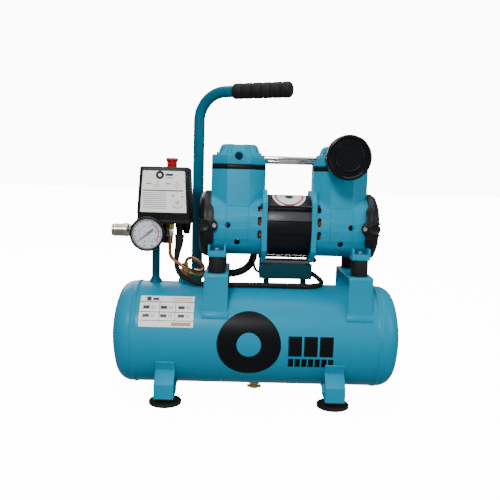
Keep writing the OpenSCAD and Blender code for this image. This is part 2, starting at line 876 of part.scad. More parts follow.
// A cylinder head: side +1 is the right-hand head, with its tube ports facing the motor
module cylinder_head(side) {
  translate([side_x(side, cyl_t), 0, head_z]) difference() {
    union() {
      linear_extrude(head_base_h) tower_plan();
      translate([0, 0, head_base_h]) head_dome();
      rod_y(0, -tower_d / 2, 0, port_z - head_z, port_boss_r);
    }
    over_chambers(-1, chamber_top);
    head_bolt_holes(head_base_h, head_bolt_r + slip);
    rod_y(0, -tower_d, -chamber_y, port_z - head_z, suction_port_r);
    for (p = tube_places) mirror([side > 0 ? 0 : 1, 0, 0])
      rod_x(-tower_w, -tower_w / 2 + tube_seat, p[0], p[1], tube_r + slip);
    if (side < 0) rod_y(0, chamber_y, tower_d, port_z - head_z, outlet_port_r);
  }
}

module cylinder_head_left() {
  color(teal) cylinder_head(-1);
}

module cylinder_head_right() {
  color(teal) cylinder_head(1);
}

module head_bolts() {
  top = head_z + head_base_h;
  color(steel) for (side = [-1, 1]) for (sx = [-1, 1]) for (sy = [-1, 1]) {
    x = side_x(side, cyl_t) + sx * head_bolt_at[0];
    y = sy * head_bolt_at[1];
    rod_z(x, y, deck_z - 12, top + 1, head_bolt_r);
    difference() {
      rod_z(x, y, top, top + 4, 4.1);
      hex_z(x, y, top + 1.5, top + 5, 4);
    }
  }
}

module transfer_tubes() {
  inner_end = cyl_t - tower_w / 2 + tube_seat - loose;
  color([0.85, 0.85, 0.85]) for (p = tube_places) difference() {
    rod_x(side_x(-1, inner_end), side_x(1, inner_end), p[0], head_z + p[1], tube_r);
    rod_x(side_x(-1, cyl_t), side_x(1, cyl_t), p[0], head_z + p[1], tube_r - 1);
  }
}

/* Fan covers */

module cover_shell() {
  knee = case_out + 7;
  seat_r = case_in_r + 1;
  rotate([0, 90, 0]) rotate_extrude() polygon([
    [seat_r, case_out], [cover_r, case_out], [cover_r, knee], [cover_r - 4, knee + 6],
    [cover_r - 11, cover_out - 1], [0, cover_out], [0, cover_out - cover_t],
    [cover_r - 12, cover_out - cover_t - 1], [cover_r - 6.5, knee + 4.5],
    [cover_r - cover_t, knee - 0.5], [cover_r - cover_t, case_out + cover_t],
    [seat_r, case_out + cover_t]]);
}

module fan_cover() {
  color(rubber) difference() {
    union() {
      cover_shell();
      intersection() {
        difference() {
          rod_x(case_out - 14, case_out + 5, 0, 0, cover_r);
          rod_x(case_out - 15, case_out + 6, 0, 0, case_r + slip);
        }
        for (s = [-1, 1]) translate([case_out - 3, s * case_r, 0]) rotate([90, 0, 0])
          cylinder(h = 30, r = tab_r, center = true);
      }
    }
    for (s = [-1, 1]) rod_y(case_out - 9, s > 0 ? 0 : -2 * case_r, s > 0 ? 2 * case_r : 0, 0,
                            1.5 + slip);
    for (ring = [15, 23, 31]) for (i = [0:5]) rotate([i * 60 + 30, 0, 0])
      translate([cover_out, 0, ring]) cube([20, ring * 0.7, 4], center = true);
  }
}

module fan_covers() {
  for (side = [-1, 1]) pump_side(side) fan_cover();
}

module fan_cover_screws() {
  color(steel) for (side = [-1, 1]) pump_side(side) for (s = [0, 1]) mirror([0, s, 0])
    difference() {
      union() {
        rod_y(case_out - 9, -cover_r - 2, -cover_r, 0, 3.2);
        rod_y(case_out - 9, -cover_r - 1, -case_in_r + 1, 0, 1.5);
      }
      translate([case_out - 9, -cover_r - 2, 0]) cube([0.9, 2, 4], center = true);
      translate([case_out - 9, -cover_r - 2, 0]) cube([4, 2, 0.9], center = true);
    }
}

module tie_rods() {
  end = plate_out + 5;
  color([0.1, 0.1, 0.1]) translate([pump_x, 0, axis_z])
    for (s = [-1, 1]) for (p = [tie_low, tie_high]) {
      rod_x(-plate_out - 3, end, s * p[0], p[1], tie_r);
      translate([plate_out, s * p[0], p[1]]) rotate([0, 90, 0]) cylinder(h = 3.5, r = 4, $fn = 6);
      rod_x(-plate_out - 3, -plate_out, s * p[0], p[1], 3.6);
    }
}

/* Intake filter */

module at_filter() {
  translate([side_x(1, cyl_t), 0, port_z]) rotate([90, 0, 0]) children();
}

module filter_housing() {
  back = -filter_back;
  front = -filter_front;
  color(rubber) at_filter() difference() {
    rotate_extrude() polygon([
      [3.5, spigot], [suction_port_r - slip, spigot], [suction_port_r - slip, tower_d / 2],
      [9, tower_d / 2], [9, back], [filter_r - 4, back], [filter_r - 1.5, back + 3],
      [filter_r - 1.5, front - 12], [filter_r - 1.5 - filter_wall, front - 12],
      [filter_r - 1.5 - filter_wall, back + 4], [filter_r - 5, back + filter_wall],
      [3.5, back + filter_wall]]);
    for (i = [0:7]) rotate([0, 0, i * 45]) translate([20, 0, back]) cylinder(h = 8, r = 2.5,
      center = true);
  }
}

module filter_cap() {
  front = -filter_front;
  color([0.03, 0.03, 0.03]) at_filter() rotate_extrude() polygon([
    [0, front - 3], [filter_r - 5, front - 3], [filter_r - 1.4, front - 6],
    [filter_r - 1.4, front - 18], [filter_r, front - 18], [filter_r + 0.4, front - 14],
    [filter_r + 0.4, front - 5], [filter_r - 1, front - 1.5], [filter_r - 4, front],
    [filter_r - 5, front - 1], [0, front - 1]]);
}

module filter_element() {
  back = -filter_back;
  front = -filter_front;
  color([0.9, 0.88, 0.8]) at_filter()
    tube_z(0, 0, back + filter_wall + 0.3, front - 7.5, filter_r - 6, 12);
}

/* Capacitor box */

module capacitor_box() {
  bottom = box_top - box_h;
  color(dark_teal) {
    difference() {
      translate([box_x[0], box_y[0], bottom]) cube([box_x[1] - box_x[0],
        box_y[1] - box_y[0], box_h]);
      translate([box_x[0] + box_wall, box_y[0] + box_wall, bottom + box_wall])
        cube([box_x[1] - box_x[0] - 2 * box_wall, box_y[1] - box_y[0] - 2 * box_wall,
              box_h - 2 * box_wall]);
      rod_x(box_x[1] - 3, box_x[1] + 1, cable_hole[0], bottom + cable_hole[1], cable_r + slip);
      rod_x(box_x[0] - 1, box_x[0] + 3, lead_hole[0], bottom + lead_hole[1], lead_r + slip);
    }
    for (x = [box_x[0] + 8, box_x[1] - 8 - box_leg_w]) difference() {
      translate([x, -6, tank_z]) cube([box_leg_w, 12, bottom - tank_z]);
      tank_body(tank_r + seat_gap);
    }
  }
}

module capacitor() {
  middle = (box_x[0] + box_x[1]) / 2;
  z = box_top - box_h + box_wall + capacitor_r;
  color([0.85, 0.85, 0.85]) {
    rod_x(middle - capacitor_len / 2, middle + capacitor_len / 2, 14, z, capacitor_r);
    for (s = [-1, 1]) rod_x(middle + capacitor_len / 2, middle + capacitor_len / 2 + 5,
                            14 + s * 4, z, 1.5);
  }
}

/* Hose, pipe and cables, along points chosen by hand */

hose_points = [
  [side_x(-1, cyl_t), elbow_y, port_z - elbow_drop], [-35, 66, 350], [-33, 68, 320],
  [-28, 67, 285], [-18, 64, 258], [-9, 54, 240], [-6, 40, 226], [-14, 27, 210], [-32, 17, 200],
  [-60, 10, 197.5], [-85, 6, 197.5], [valve_at[0] + 15, valve_at[1], valve_z + bung_h + 8]];

unloader_points = [
  [unloader_at[0], unloader_at[1], block_top - 19], [-139, -54, 250], [-138.5, -53, 236],
  [-134, -50, 228], [-122, -43, 218], [-107, -35, 209], [-96, -28, 205], [-89, -20, 206.5],
  [-89.5, -11, 213], [-98, -3, 220], [-109, 2, 224], [-117, 4.5, 221],
  [valve_at[0], valve_at[1], valve_z + bung_h + 22]];

cable_points = [
  [gland_at[0][0], gland_at[0][1], block_top - gland_h - 0.2], [-126, -42.5, 252],
  [-129, -42, 236], [-130, -40, 220], [-126, -38, 205], [-114, -35, 195], [-98, -32, 188],
  [-66, -27, 185], [-25, -25, 185.5], [10, -25, 186], [60, -25, 186], [88, -24, 186], [103, -14, 187],
  [107, 0, 190], [102, 7, 195],
  [box_x[1] + 0.3, cable_hole[0], box_top - box_h + cable_hole[1]]];

lead_points = [
  [side_x(-1, lead_t), lead_y, axis_z - case_r + 7], [-6, -12.5, 230], [-6.5, -13, 222],
  [-5, -12, 213], [-1, -11, 207], [box_x[0] + 2, lead_hole[0], box_top - box_h + lead_hole[1]]];

module discharge_hose() {
  x = side_x(-1, cyl_t);
  color(rubber) sweep(smooth_path(hose_points, steps), hose_r, 12);
  color(brass) {
    difference() {
      union() {
        rod_y(x, tower_d / 2 - 12, elbow_y, port_z, outlet_port_r - slip);
        rod_y(x, tower_d / 2, tower_d / 2 + 5, port_z, 9);
        rod_z(x, elbow_y, port_z - elbow_drop, port_z + 5, 7);
      }
      rod_y(x, tower_d / 2 - 13, elbow_y, port_z, 3.5);
      rod_z(x, elbow_y, port_z - elbow_drop - 1, port_z, 3.5);
    }
  }
}

module unloader_pipe() {
  color([0.75, 0.4, 0.22]) sweep(smooth_path(unloader_points, steps), pipe_r, 10);
  color(steel) hex_z(unloader_at[0], unloader_at[1], block_top - 20, block_top - 9, 11);
  color(brass) hex_z(unloader_at[0], unloader_at[1], block_top - 9, block_top, 12);
}

module motor_cables() {
  color(rubber) {
    sweep(smooth_path(cable_points, 3), cable_r, 8);
    sweep(smooth_path(lead_points, 3), lead_r, 8);
  }
}

/* Pressure switch */

module switch_plan(h, grow) {
  w = switch_w / 2 + grow;
  d = switch_d / 2 + grow;
  c = 5;
  linear_extrude(h) polygon([[w - c, d], [c - w, d], [-w, d - c], [-w, c - d], [c - w, -d],
                             [w - c, -d], [w, c - d], [w, d - c]]);
}

module switch_form(h, inset) {
  w = switch_w / 2 - inset;
  d = switch_d / 2 - inset;
  intersection() {
    rotate([90, 0, 0]) translate([0, 0, -switch_d]) linear_extrude(2 * switch_d)
      polygon([[-w, 0], [w, 0], [w - switch_taper, h - 4], [w - switch_taper - 4, h],
               [switch_taper + 4 - w, h], [switch_taper - w, h - 4]]);
    rotate([90, 0, 90]) translate([0, 0, -switch_w]) linear_extrude(2 * switch_w)
      polygon([[-d, 0], [d, 0], [d - 2, h - 4], [d - 6, h], [6 - d, h], [2 - d, h - 4]]);
    switch_plan(h, -inset);
  }
}

module switch_base() {
  color(rubber) translate([switch_x, switch_y, block_top]) difference() {
    union() {
      switch_plan(base_h, 0);
      switch_plan(base_h + 4, -switch_wall - loose);
    }
    translate([0, 0, base_h]) switch_plan(10, -switch_wall - 2.5);
    rod_z(nipple[0] - switch_x, nipple[1] - switch_y, -1, 12, nipple_r + slip);
    for (p = gland_at) rod_z(p[0] - switch_x, p[1] - switch_y, -1, 12, 4 + slip);
  }
}

module switch_cover() {
  color([0.09, 0.09, 0.1]) translate([switch_x, switch_y, cover_z]) difference() {
    switch_form(switch_h, 0);
    translate([0, 0, -0.01]) switch_form(switch_h - switch_wall, switch_wall);
    rod_z(knob_at[0] - switch_x, knob_at[1] - switch_y, 0, switch_h + 1, knob_r + loose);
  }
}

module switch_knob() {
  top = cover_z + switch_h;
  color([0.75, 0.1, 0.1]) {
    rod_z(knob_at[0], knob_at[1], top - knob_travel - 6, top + 9.5, knob_r);
    rod_z(knob_at[0], knob_at[1], top + 9, top + 14, knob_flange_r);
    rod_z(knob_at[0], knob_at[1], top - knob_travel - 20, top - knob_travel - 5, 3.5);
  }
}

module contact_block() {
  top = cover_z + switch_h;
  plunger_z = top - 2 * knob_travel - 21;
  color([0.55, 0.5, 0.4]) {
    difference() {
      translate([switch_x - 30, switch_y - 22, cover_z]) cube([48, 44, 36]);
      rod_z(nipple[0], nipple[1], cover_z - 1, cover_z + 8, nipple_r + slip);
    }
    tube_z(knob_at[0], knob_at[1], cover_z + 36, plunger_z + 12, 7, 3.5 + slip);
    rod_z(switch_x - 15, switch_y + 8, cover_z + 36, cover_z + 62, 8);
  }
}

/* Manifold, regulator, gauge and coupler */

module manifold_block() {
  color([0.2, 0.2, 0.21]) difference() {
    union() {
      translate([block_x - block_half, block_y[0], block_z - block_half])
        cube([2 * block_half, block_y[1] - block_y[0], 2 * block_half]);
      rod_z(nipple[0], nipple[1], block_z, cover_z + 4, nipple_r);
      rod_x(block_x, block_x + block_half + 2, regulator_y, regulator_z, 11);
      rod_x(block_x, block_x + block_half + 6, regulator_y, regulator_z, 5);
    }
    rod_z(riser_x, 0, block_z - block_half - 1, block_z - 8, riser_r + slip);
    rod_z(riser_x, 0, block_z - 9, block_z, 5);
    rod_y(block_x, block_y[0] - 1, -2, block_z, 5);
    rod_x(block_x - block_half - 1, block_x, coupler_y, coupler_z, coupler_thread_r + slip);
    rod_z(nipple[0], nipple[1], block_z, cover_z + 5, 4);
    rod_x(block_x - 20, block_x, safety_at[1], block_z, 4 + slip);
  }
}

module regulator_knob() {
  start = block_x + block_half + 2 + loose;
  color(rubber) difference() {
    rod_x(start, start + 14, regulator_y, regulator_z, regulator_r);
    rod_x(start - 1, start + 5, regulator_y, regulator_z, 5 + running);
    for (i = [0:17]) translate([start, regulator_y, regulator_z]) rotate([i * 20, 0, 0])
      translate([2, 0, regulator_r + 0.4]) rotate([0, 90, 0]) cylinder(h = 14, r = 1.2, $fn = 16);
  }
}

module at_gauge() {
  translate([block_x, 0, gauge_z]) rotate([90, 0, 0]) children();
}

module gauge_case() {
  back = -gauge_back;
  front = -gauge_front;
  color(rubber) at_gauge() difference() {
    rotate_extrude() polygon([
      [0, -block_y[0] - 10], [5 - slip, -block_y[0] - 10], [5 - slip, -block_y[0]],
      [8, -block_y[0]], [8, back], [gauge_r - 4, back], [gauge_r - 1.2, back + 3],
      [gauge_r - 1.2, front - 8], [gauge_r, front - 7], [gauge_r, front - 1.5],
      [gauge_r - 1.5, front], [gauge_r - 3.2, front - 1.6], [gauge_r - 3.2, front - 6],
      [gauge_r - 4, front - 9], [0, front - 9]]);
    translate([0, 0, front - 15]) cylinder(h = 20, r = 1 + running, $fn = 24);
  }
}

// The needle points to the zero mark, low on the left
module gauge_needle() {
  front = -gauge_front;
  color(rubber) at_gauge() {
    translate([0, 0, front - 14.5]) cylinder(h = 9, r = 1, $fn = 24);
    translate([0, 0, front - 8]) cylinder(h = 3, r = 2.6, $fn = 24);
    translate([0, 0, front - 7]) rotate([0, 0, needle_zero - 90]) linear_extrude(0.8)
        polygon([[-1.6, -9], [1.6, -9], [0.9, 4], [0.25, 18], [-0.25, 18], [-0.9, 4]]);
  }
}

module gauge_lens() {
  front = -gauge_front;
  color([0.8, 0.9, 1, 0.3]) at_gauge() translate([0, 0, front - 4])
    cylinder(h = 1.6, r = gauge_r - 3.2 - running);
}

module coupler_body() {
  face = block_x - block_half;
  color([0.75, 0.72, 0.62]) difference() {
    union() {
      rod_x(face - 3, face + 8, coupler_y, coupler_z, coupler_thread_r);
      translate([face - coupler_hex_end, coupler_y, coupler_z]) rotate([0, 90, 0])
        cylinder(h = coupler_hex_end - 2, r = 11, $fn = 6);
      rod_x(coupler_end, face - coupler_hex_end + 2, coupler_y, coupler_z, coupler_r);
      rod_x(coupler_end, coupler_end + coupler_lip, coupler_y, coupler_z, coupler_r + 1);
    }
    rod_x(coupler_end - 1, coupler_end + socket_len, coupler_y, coupler_z, socket_r);
    rod_x(coupler_end + socket_len - 1, block_x, coupler_y, coupler_z, 3.5);
  }
}

module coupler_sleeve() {
  x0 = coupler_end + coupler_lip + 0.3;
  x1 = block_x - block_half - coupler_hex_end - sleeve_travel - loose;
  color([0.78, 0.74, 0.62]) difference() {
    rod_x(x0, x1, coupler_y, coupler_z, sleeve_r);
    rod_x(x0 - 1, x1 + 1, coupler_y, coupler_z, coupler_r + running);
    for (x = [x0 + 4, x0 + 11]) difference() {
      rod_x(x, x + 2.5, coupler_y, coupler_z, sleeve_r + 1);
      rod_x(x - 1, x + 4, coupler_y, coupler_z, sleeve_r - 0.8);
    }
  }
}

module cable_glands() {
  color(rubber) for (p = gland_at) difference() {
    union() {
      hex_z(p[0], p[1], block_top - 7, block_top, 2 * gland_r - 0.6);
      translate([p[0], p[1], block_top - gland_h])
        cylinder(h = gland_h - 7, r1 = gland_r - 1.5, r2 = gland_r);
      rod_z(p[0], p[1], block_top - 1, block_top + 8, 4);
    }
    rod_z(p[0], p[1], block_top - gland_h - 2, block_top + 9, 3);
  }
}

// Safety valve on the block's left side, behind the coupler
module safety_valve() {
  x0 = block_x - block_half;
  color(brass) difference() {
    union() {
      rod_x(x0 - 2, x0 + 8, safety_at[1], block_z, 4);
      translate([x0 - 8, safety_at[1], block_z]) rotate([0, 90, 0]) cylinder(h = 8, r = 8, $fn = 6);
      rod_x(x0 - 20, x0 - 7, safety_at[1], block_z, 6);
    }
    rod_x(x0 - 21, x0 + 9, safety_at[1], block_z, 1.5 + running);
  }
}

module safety_ring() {
  x0 = block_x - block_half - 20;
  color(steel) {
    rod_x(x0 - 5, x0 + 6, safety_at[1], block_z, 1.5);
    translate([x0 - 13, safety_at[1], block_z]) rotate([90, 0, 0]) rotate_extrude()
      translate([9, 0]) circle(r = 1, $fn = 16);
  }
}

tank_shell();
tank_heads();
saddles();
foot_brackets();
rubber_feet();
foot_bolts();
check_valve();
drain_valve_body();
drain_valve_knob();
riser_pipe();
handle_tube();
handle_grip();
rating_plate();
vibration_mounts();
mount_screws();
crankcase_left();
crankcase_right();
motor_stator();
stator_windings();
rotor_core();
crankshaft();
eccentrics();
cooling_fans();
shaft_bearings();
piston_rod_left();
piston_rod_right();
piston_seal_left();
piston_seal_right();
cylinder_sleeves();
valve_plates();
head_gaskets();
cylinder_head_left();
cylinder_head_right();
head_bolts();
transfer_tubes();
fan_covers();
fan_cover_screws();
tie_rods();
filter_housing();
filter_cap();
filter_element();
capacitor_box();
capacitor();
discharge_hose();
switch_base();
switch_cover();
switch_knob();
contact_block();
manifold_block();
regulator_knob();
gauge_case();
gauge_needle();
gauge_lens();
coupler_body();
coupler_sleeve();
unloader_pipe();
cable_glands();
motor_cables();
safety_valve();
safety_ring();
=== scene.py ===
"""Looks of a small twin-cylinder air compressor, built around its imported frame. Metres throughout."""
import json
import math

import bpy
from mathutils import Matrix, Vector

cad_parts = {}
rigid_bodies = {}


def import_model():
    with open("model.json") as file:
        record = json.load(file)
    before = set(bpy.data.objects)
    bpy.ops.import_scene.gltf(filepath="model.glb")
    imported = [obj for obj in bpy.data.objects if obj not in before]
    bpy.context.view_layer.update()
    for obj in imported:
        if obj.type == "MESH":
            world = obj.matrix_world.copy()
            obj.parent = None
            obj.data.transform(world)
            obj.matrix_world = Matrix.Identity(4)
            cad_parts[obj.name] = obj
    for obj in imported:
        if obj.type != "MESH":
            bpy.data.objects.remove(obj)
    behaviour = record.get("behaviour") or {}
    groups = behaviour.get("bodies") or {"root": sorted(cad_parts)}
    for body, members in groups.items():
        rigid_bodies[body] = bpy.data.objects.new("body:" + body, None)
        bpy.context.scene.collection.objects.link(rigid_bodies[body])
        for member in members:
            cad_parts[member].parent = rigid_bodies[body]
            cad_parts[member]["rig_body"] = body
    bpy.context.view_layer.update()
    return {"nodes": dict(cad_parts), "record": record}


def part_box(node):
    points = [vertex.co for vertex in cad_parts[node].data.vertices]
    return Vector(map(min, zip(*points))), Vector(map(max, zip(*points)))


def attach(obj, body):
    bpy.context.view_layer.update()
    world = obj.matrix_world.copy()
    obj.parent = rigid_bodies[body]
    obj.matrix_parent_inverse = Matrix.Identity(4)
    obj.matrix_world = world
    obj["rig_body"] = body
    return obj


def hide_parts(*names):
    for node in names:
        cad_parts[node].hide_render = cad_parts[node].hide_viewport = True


MM = 0.001
TURN = 2 * math.pi

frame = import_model()
nodes = frame["nodes"]
slot_of = {part["node"]: part["material_slot"] for part in frame["record"]["subparts"]}

# Places and sizes that several pieces share.
UNLOADER_AT = (-139 * MM, -54 * MM)
KNOB_AT = (-139 * MM, -40 * MM)
CHECK_VALVE_AT = (-120 * MM, 5 * MM)
HANDLE_AT = (-105 * MM, 62 * MM)
HANDLE_R = 9.5 * MM
ARM_TURN = math.radians(24)


def mm(*points):
    """Points given in millimetres, brought to metres."""
    return [tuple(value * MM for value in point) for point in points]


# ---------------------------------------------------------------- camera, light and floor

def camera():
    """The camera stands in front of the left half and looks slightly down."""
    place = Vector((-26.0, -1019.1, 354.0)) * MM
    pitch, yaw, roll = (math.radians(a) for a in (6.387, 0.733, 1.555))
    ahead = Vector((math.sin(yaw) * math.cos(pitch), math.cos(yaw) * math.cos(pitch), -math.sin(pitch)))
    level = Vector((math.cos(yaw), -math.sin(yaw), 0))
    over = level.cross(ahead)
    right = math.cos(roll) * level + math.sin(roll) * over
    up = math.cos(roll) * over - math.sin(roll) * level
    bpy.ops.object.camera_add()
    cam = bpy.context.object
    cam.name = "camera"
    cam.matrix_world = Matrix.Translation(place) @ Matrix((right, up, -ahead)).transposed().to_4x4()
    cam.data.sensor_width = 36
    cam.data.lens = 44.58
    bpy.context.scene.camera = cam


def soft_light(name, place, aim, size, power):
    """A square soft box at place, pointing at aim."""
    bpy.ops.object.light_add(type="AREA", location=place)
    lamp = bpy.context.object
    lamp.name = name
    lamp.rotation_euler = (Vector(aim) - Vector(place)).to_track_quat("-Z", "Y").to_euler()
    lamp.data.size = size
    lamp.data.energy = power


def studio():
    """Dim surroundings, five soft boxes, and a pale floor and backdrop that throw nothing back."""
    middle = (0, 0, 0.22)
    soft_light("low_fill", (0.1, -1.4, 0.1), (0, 0, 0.15), 1.2, 3.2)
    bpy.context.object.visible_glossy = False
    soft_light("key", (-0.5, -1.9, 1.5), middle, 0.42, 35.5)
    soft_light("side", (1.9, -1.0, 1.0), middle, 1.0, 15)
    soft_light("top", (0.0, 0.1, 1.9), middle, 1.6, 24)
    soft_light("back", (-0.9, 1.7, 1.2), middle, 1.2, 20)
    backdrop, surroundings = 14.0, 0.3
    lamps_on_floor = 0.45
    world = bpy.data.worlds.new("surroundings")
    bpy.context.scene.world = world
    world.use_nodes = True
    tree = world.node_tree
    dim = tree.nodes["Background"]
    dim.inputs["Color"].default_value = (1, 1, 1, 1)
    dim.inputs["Strength"].default_value = surroundings
    white = tree.nodes.new("ShaderNodeBackground")
    white.inputs["Strength"].default_value = backdrop
    chosen = tree.nodes.new("ShaderNodeMixShader")
    tree.links.new(tree.nodes.new("ShaderNodeLightPath").outputs["Is Camera Ray"], chosen.inputs[0])
    tree.links.new(dim.outputs[0], chosen.inputs[1])
    tree.links.new(white.outputs[0], chosen.inputs[2])
    tree.links.new(chosen.outputs[0], tree.nodes["World Output"].inputs["Surface"])
    bpy.ops.mesh.primitive_plane_add(size=40)
    floor = bpy.context.object
    floor.name = "floor"
    floor.data.materials.append(floor_finish(backdrop - lamps_on_floor))
    floor.visible_diffuse = False
    floor.visible_glossy = False


# ---------------------------------------------------------------- finishes

class Signal:
    """A value that varies over a surface. Sums and products of signals add their Math nodes."""

    def __init__(self, finish, socket):
        self.finish = finish
        self.socket = socket

    def math(self, operation, *values):
        return self.finish.node("ShaderNodeMath", {"operation": operation}, dict(enumerate(values)))

    def __add__(self, other):
        return self.math("ADD", self, other)

    def __sub__(self, other):
        return self.math("SUBTRACT", self, other)

    def __rsub__(self, other):
        return self.math("SUBTRACT", other, self)

    def __mul__(self, other):
        return self.math("MULTIPLY", self, other)

    def __truediv__(self, other):
        return self.math("DIVIDE", self, other)

    __radd__ = __add__
    __rmul__ = __mul__

    def below(self, other):
        return self.math("LESS_THAN", self, other)

    def above(self, other):
        return self.math("GREATER_THAN", self, other)

    def size(self):
        return self.math("ABSOLUTE", self)

    def capped(self):
        return self.math("MINIMUM", self, 1.0)

    def squared(self):
        return self.math("POWER", self, 2.0)

    def root(self):
        return self.math("SQRT", self)

    def fraction(self):
        return self.math("FRACT", self)

    def sine(self):
        return self.math("SINE", self)

    def between(self, low, high):
        return self.above(low) * self.below(high)


class Finish:
    """A material: constants go on its shader, and what varies is built from nodes."""

    def __init__(self, name, **constants):
        self.material = bpy.data.materials.new(name)
        self.material.use_nodes = True
        self.tree = self.material.node_tree
        self.shader = self.tree.nodes["Principled BSDF"]
        self.where = self.node("ShaderNodeTexCoord", output="Object")
        for socket, value in constants.items():
            self.shader.inputs[socket.replace("_", " ").title().replace("Ior", "IOR")].default_value = value

    def node(self, kind, settings=None, inputs=None, output=0):
        """Adds a node; its settings go first, then the values or links of its sockets."""
        made = self.tree.nodes.new(kind)
        for key, value in (settings or {}).items():
            setattr(made, key, value)
        for key, value in (inputs or {}).items():
            self.plug(made.inputs[key], value)
        return Signal(self, made.outputs[output])

    def plug(self, socket, value):
        if isinstance(value, Signal):
            self.tree.links.new(value.socket, socket)
        else:
            socket.default_value = value

    def feed(self, socket, value):
        self.plug(self.shader.inputs[socket], value)

    def axes(self):
        """The surface point's X, Y and Z as three signals."""
        split = self.tree.nodes.new("ShaderNodeSeparateXYZ")
        self.plug(split.inputs[0], self.where)
        return [Signal(self, split.outputs[i]) for i in range(3)]

    def noise(self, size, detail=2.0, stretch=(1, 1, 1)):
        """Soft random spots about size across, from 0 to 1."""
        place = self.node("ShaderNodeMapping", inputs={"Vector": self.where, "Scale": stretch})
        return self.node("ShaderNodeTexNoise", inputs={"Vector": place, "Scale": 1 / size, "Detail": detail})

    def mixed(self, share, first, second):
        """One colour going over to another."""
        return self.node("ShaderNodeMix", {"data_type": "RGBA"}, {0: share, 6: first, 7: second}, output=2)

    def spread(self, signal, low, high):
        """A signal from 0 to 1 brought to the span from low to high."""
        return signal * (high - low) + low

    def relief(self, height, depth, edge=0.0):
        """Bumps of that depth, over edges that are rounded by edge."""
        inputs = {"Height": height, "Distance": depth, "Strength": 1.0}
        if edge:
            inputs["Normal"] = self.node("ShaderNodeBevel", {"samples": 4}, {"Radius": edge})
        self.feed("Normal", self.node("ShaderNodeBump", inputs=inputs))


def colour(red, green, blue):
    return (red, green, blue, 1)


TEAL, TEAL_DEEP = colour(0.0, 0.27, 0.44), colour(0.0, 0.25, 0.41)
FOIL, FOIL_DULL = colour(0.95, 0.95, 0.93), colour(0.9, 0.9, 0.88)
DIAL, DIAL_DULL = colour(0.72, 0.8, 0.88), colour(0.68, 0.76, 0.85)


def paint(name, base, deep, roughness, peel, edge=0.5 * MM):
    """Sprayed paint: a little uneven in tone and gloss, with orange peel."""
    coat = Finish(name, coat_roughness=0.15, specular_ior_level=0.14)
    coat.feed("Base Color", coat.mixed(coat.noise(0.05, 3), base, deep))
    coat.feed("Roughness", coat.spread(coat.noise(0.02, 4), roughness - 0.05, roughness + 0.07))
    coat.feed("Coat Weight", coat.spread(coat.noise(0.03), 0.01, 0.05))
    coat.relief(coat.noise(1.4 * MM, 3), peel, edge)
    return coat


def grained(name, base, light, roughness, grain, depth, edge=0.4 * MM):
    """Moulded plastic or rubber with a fine grain and faint scuffs."""
    skin = Finish(name, specular_ior_level=0.22)
    skin.feed("Base Color", skin.mixed(skin.noise(0.015, 5), base, light))
    skin.feed("Roughness", skin.spread(skin.noise(0.008, 4), roughness - 0.08, roughness + 0.08))
    skin.relief(skin.noise(grain, 2), depth, edge)
    return skin


def metal(name, base, dull, roughness, grain=(1, 1, 1), depth=0.01 * MM, edge=0.3 * MM):
    """Bare or plated metal, with tool marks drawn out across the grain and slight staining."""
    skin = Finish(name, metallic=1.0)
    skin.feed("Base Color", skin.mixed(skin.noise(0.012, 5), base, dull))
    marks = skin.noise(1.5 * MM, 3, grain)
    skin.feed("Roughness", skin.spread(marks, roughness - 0.07, roughness + 0.1))
    skin.relief(marks, depth, edge)
    return skin


def floor_finish(glow):
    """Pale matt floor with a barely uneven tone, lit through from below like a light table."""
    matt = Finish("floor", roughness=0.9, emission_strength=glow, emission_color=colour(1, 1, 1))
    pale, duller = colour(0.86, 0.86, 0.86), colour(0.84, 0.84, 0.84)
    matt.feed("Base Color", matt.mixed(matt.noise(0.6, 2), pale, duller))
    return matt.material


def felt():
    """Pressed fibres of the filter element."""
    return grained("filter_felt", colour(0.8, 0.77, 0.68), colour(0.7, 0.66, 0.56), 0.9, 0.9 * MM, 0.2 * MM)


def windings():
    """Enamelled wire laid round the stator bore."""
    wire = Finish("copper_winding", metallic=0.85)
    enamel, dark = colour(0.3, 0.1, 0.035), colour(0.16, 0.05, 0.02)
    wire.feed("Base Color", wire.mixed(wire.noise(0.006, 4), enamel, dark))
    wire.feed("Roughness", wire.spread(wire.noise(0.004), 0.25, 0.45))
    strands = wire.node("ShaderNodeTexWave", {"wave_type": "RINGS", "rings_direction": "X"},
                        {"Vector": wire.where, "Scale": 160, "Distortion": 2.5, "Detail": 2})
    wire.relief(strands, 0.5 * MM)
    return wire


def clear():
    """The gauge's window: nearly all seen through, with a gloss."""
    lens = Finish("clear_lens", alpha=0.1, ior=1.45, base_color=colour(0.9, 0.95, 1))
    lens.feed("Roughness", lens.spread(lens.noise(0.01), 0.02, 0.06))
    return lens


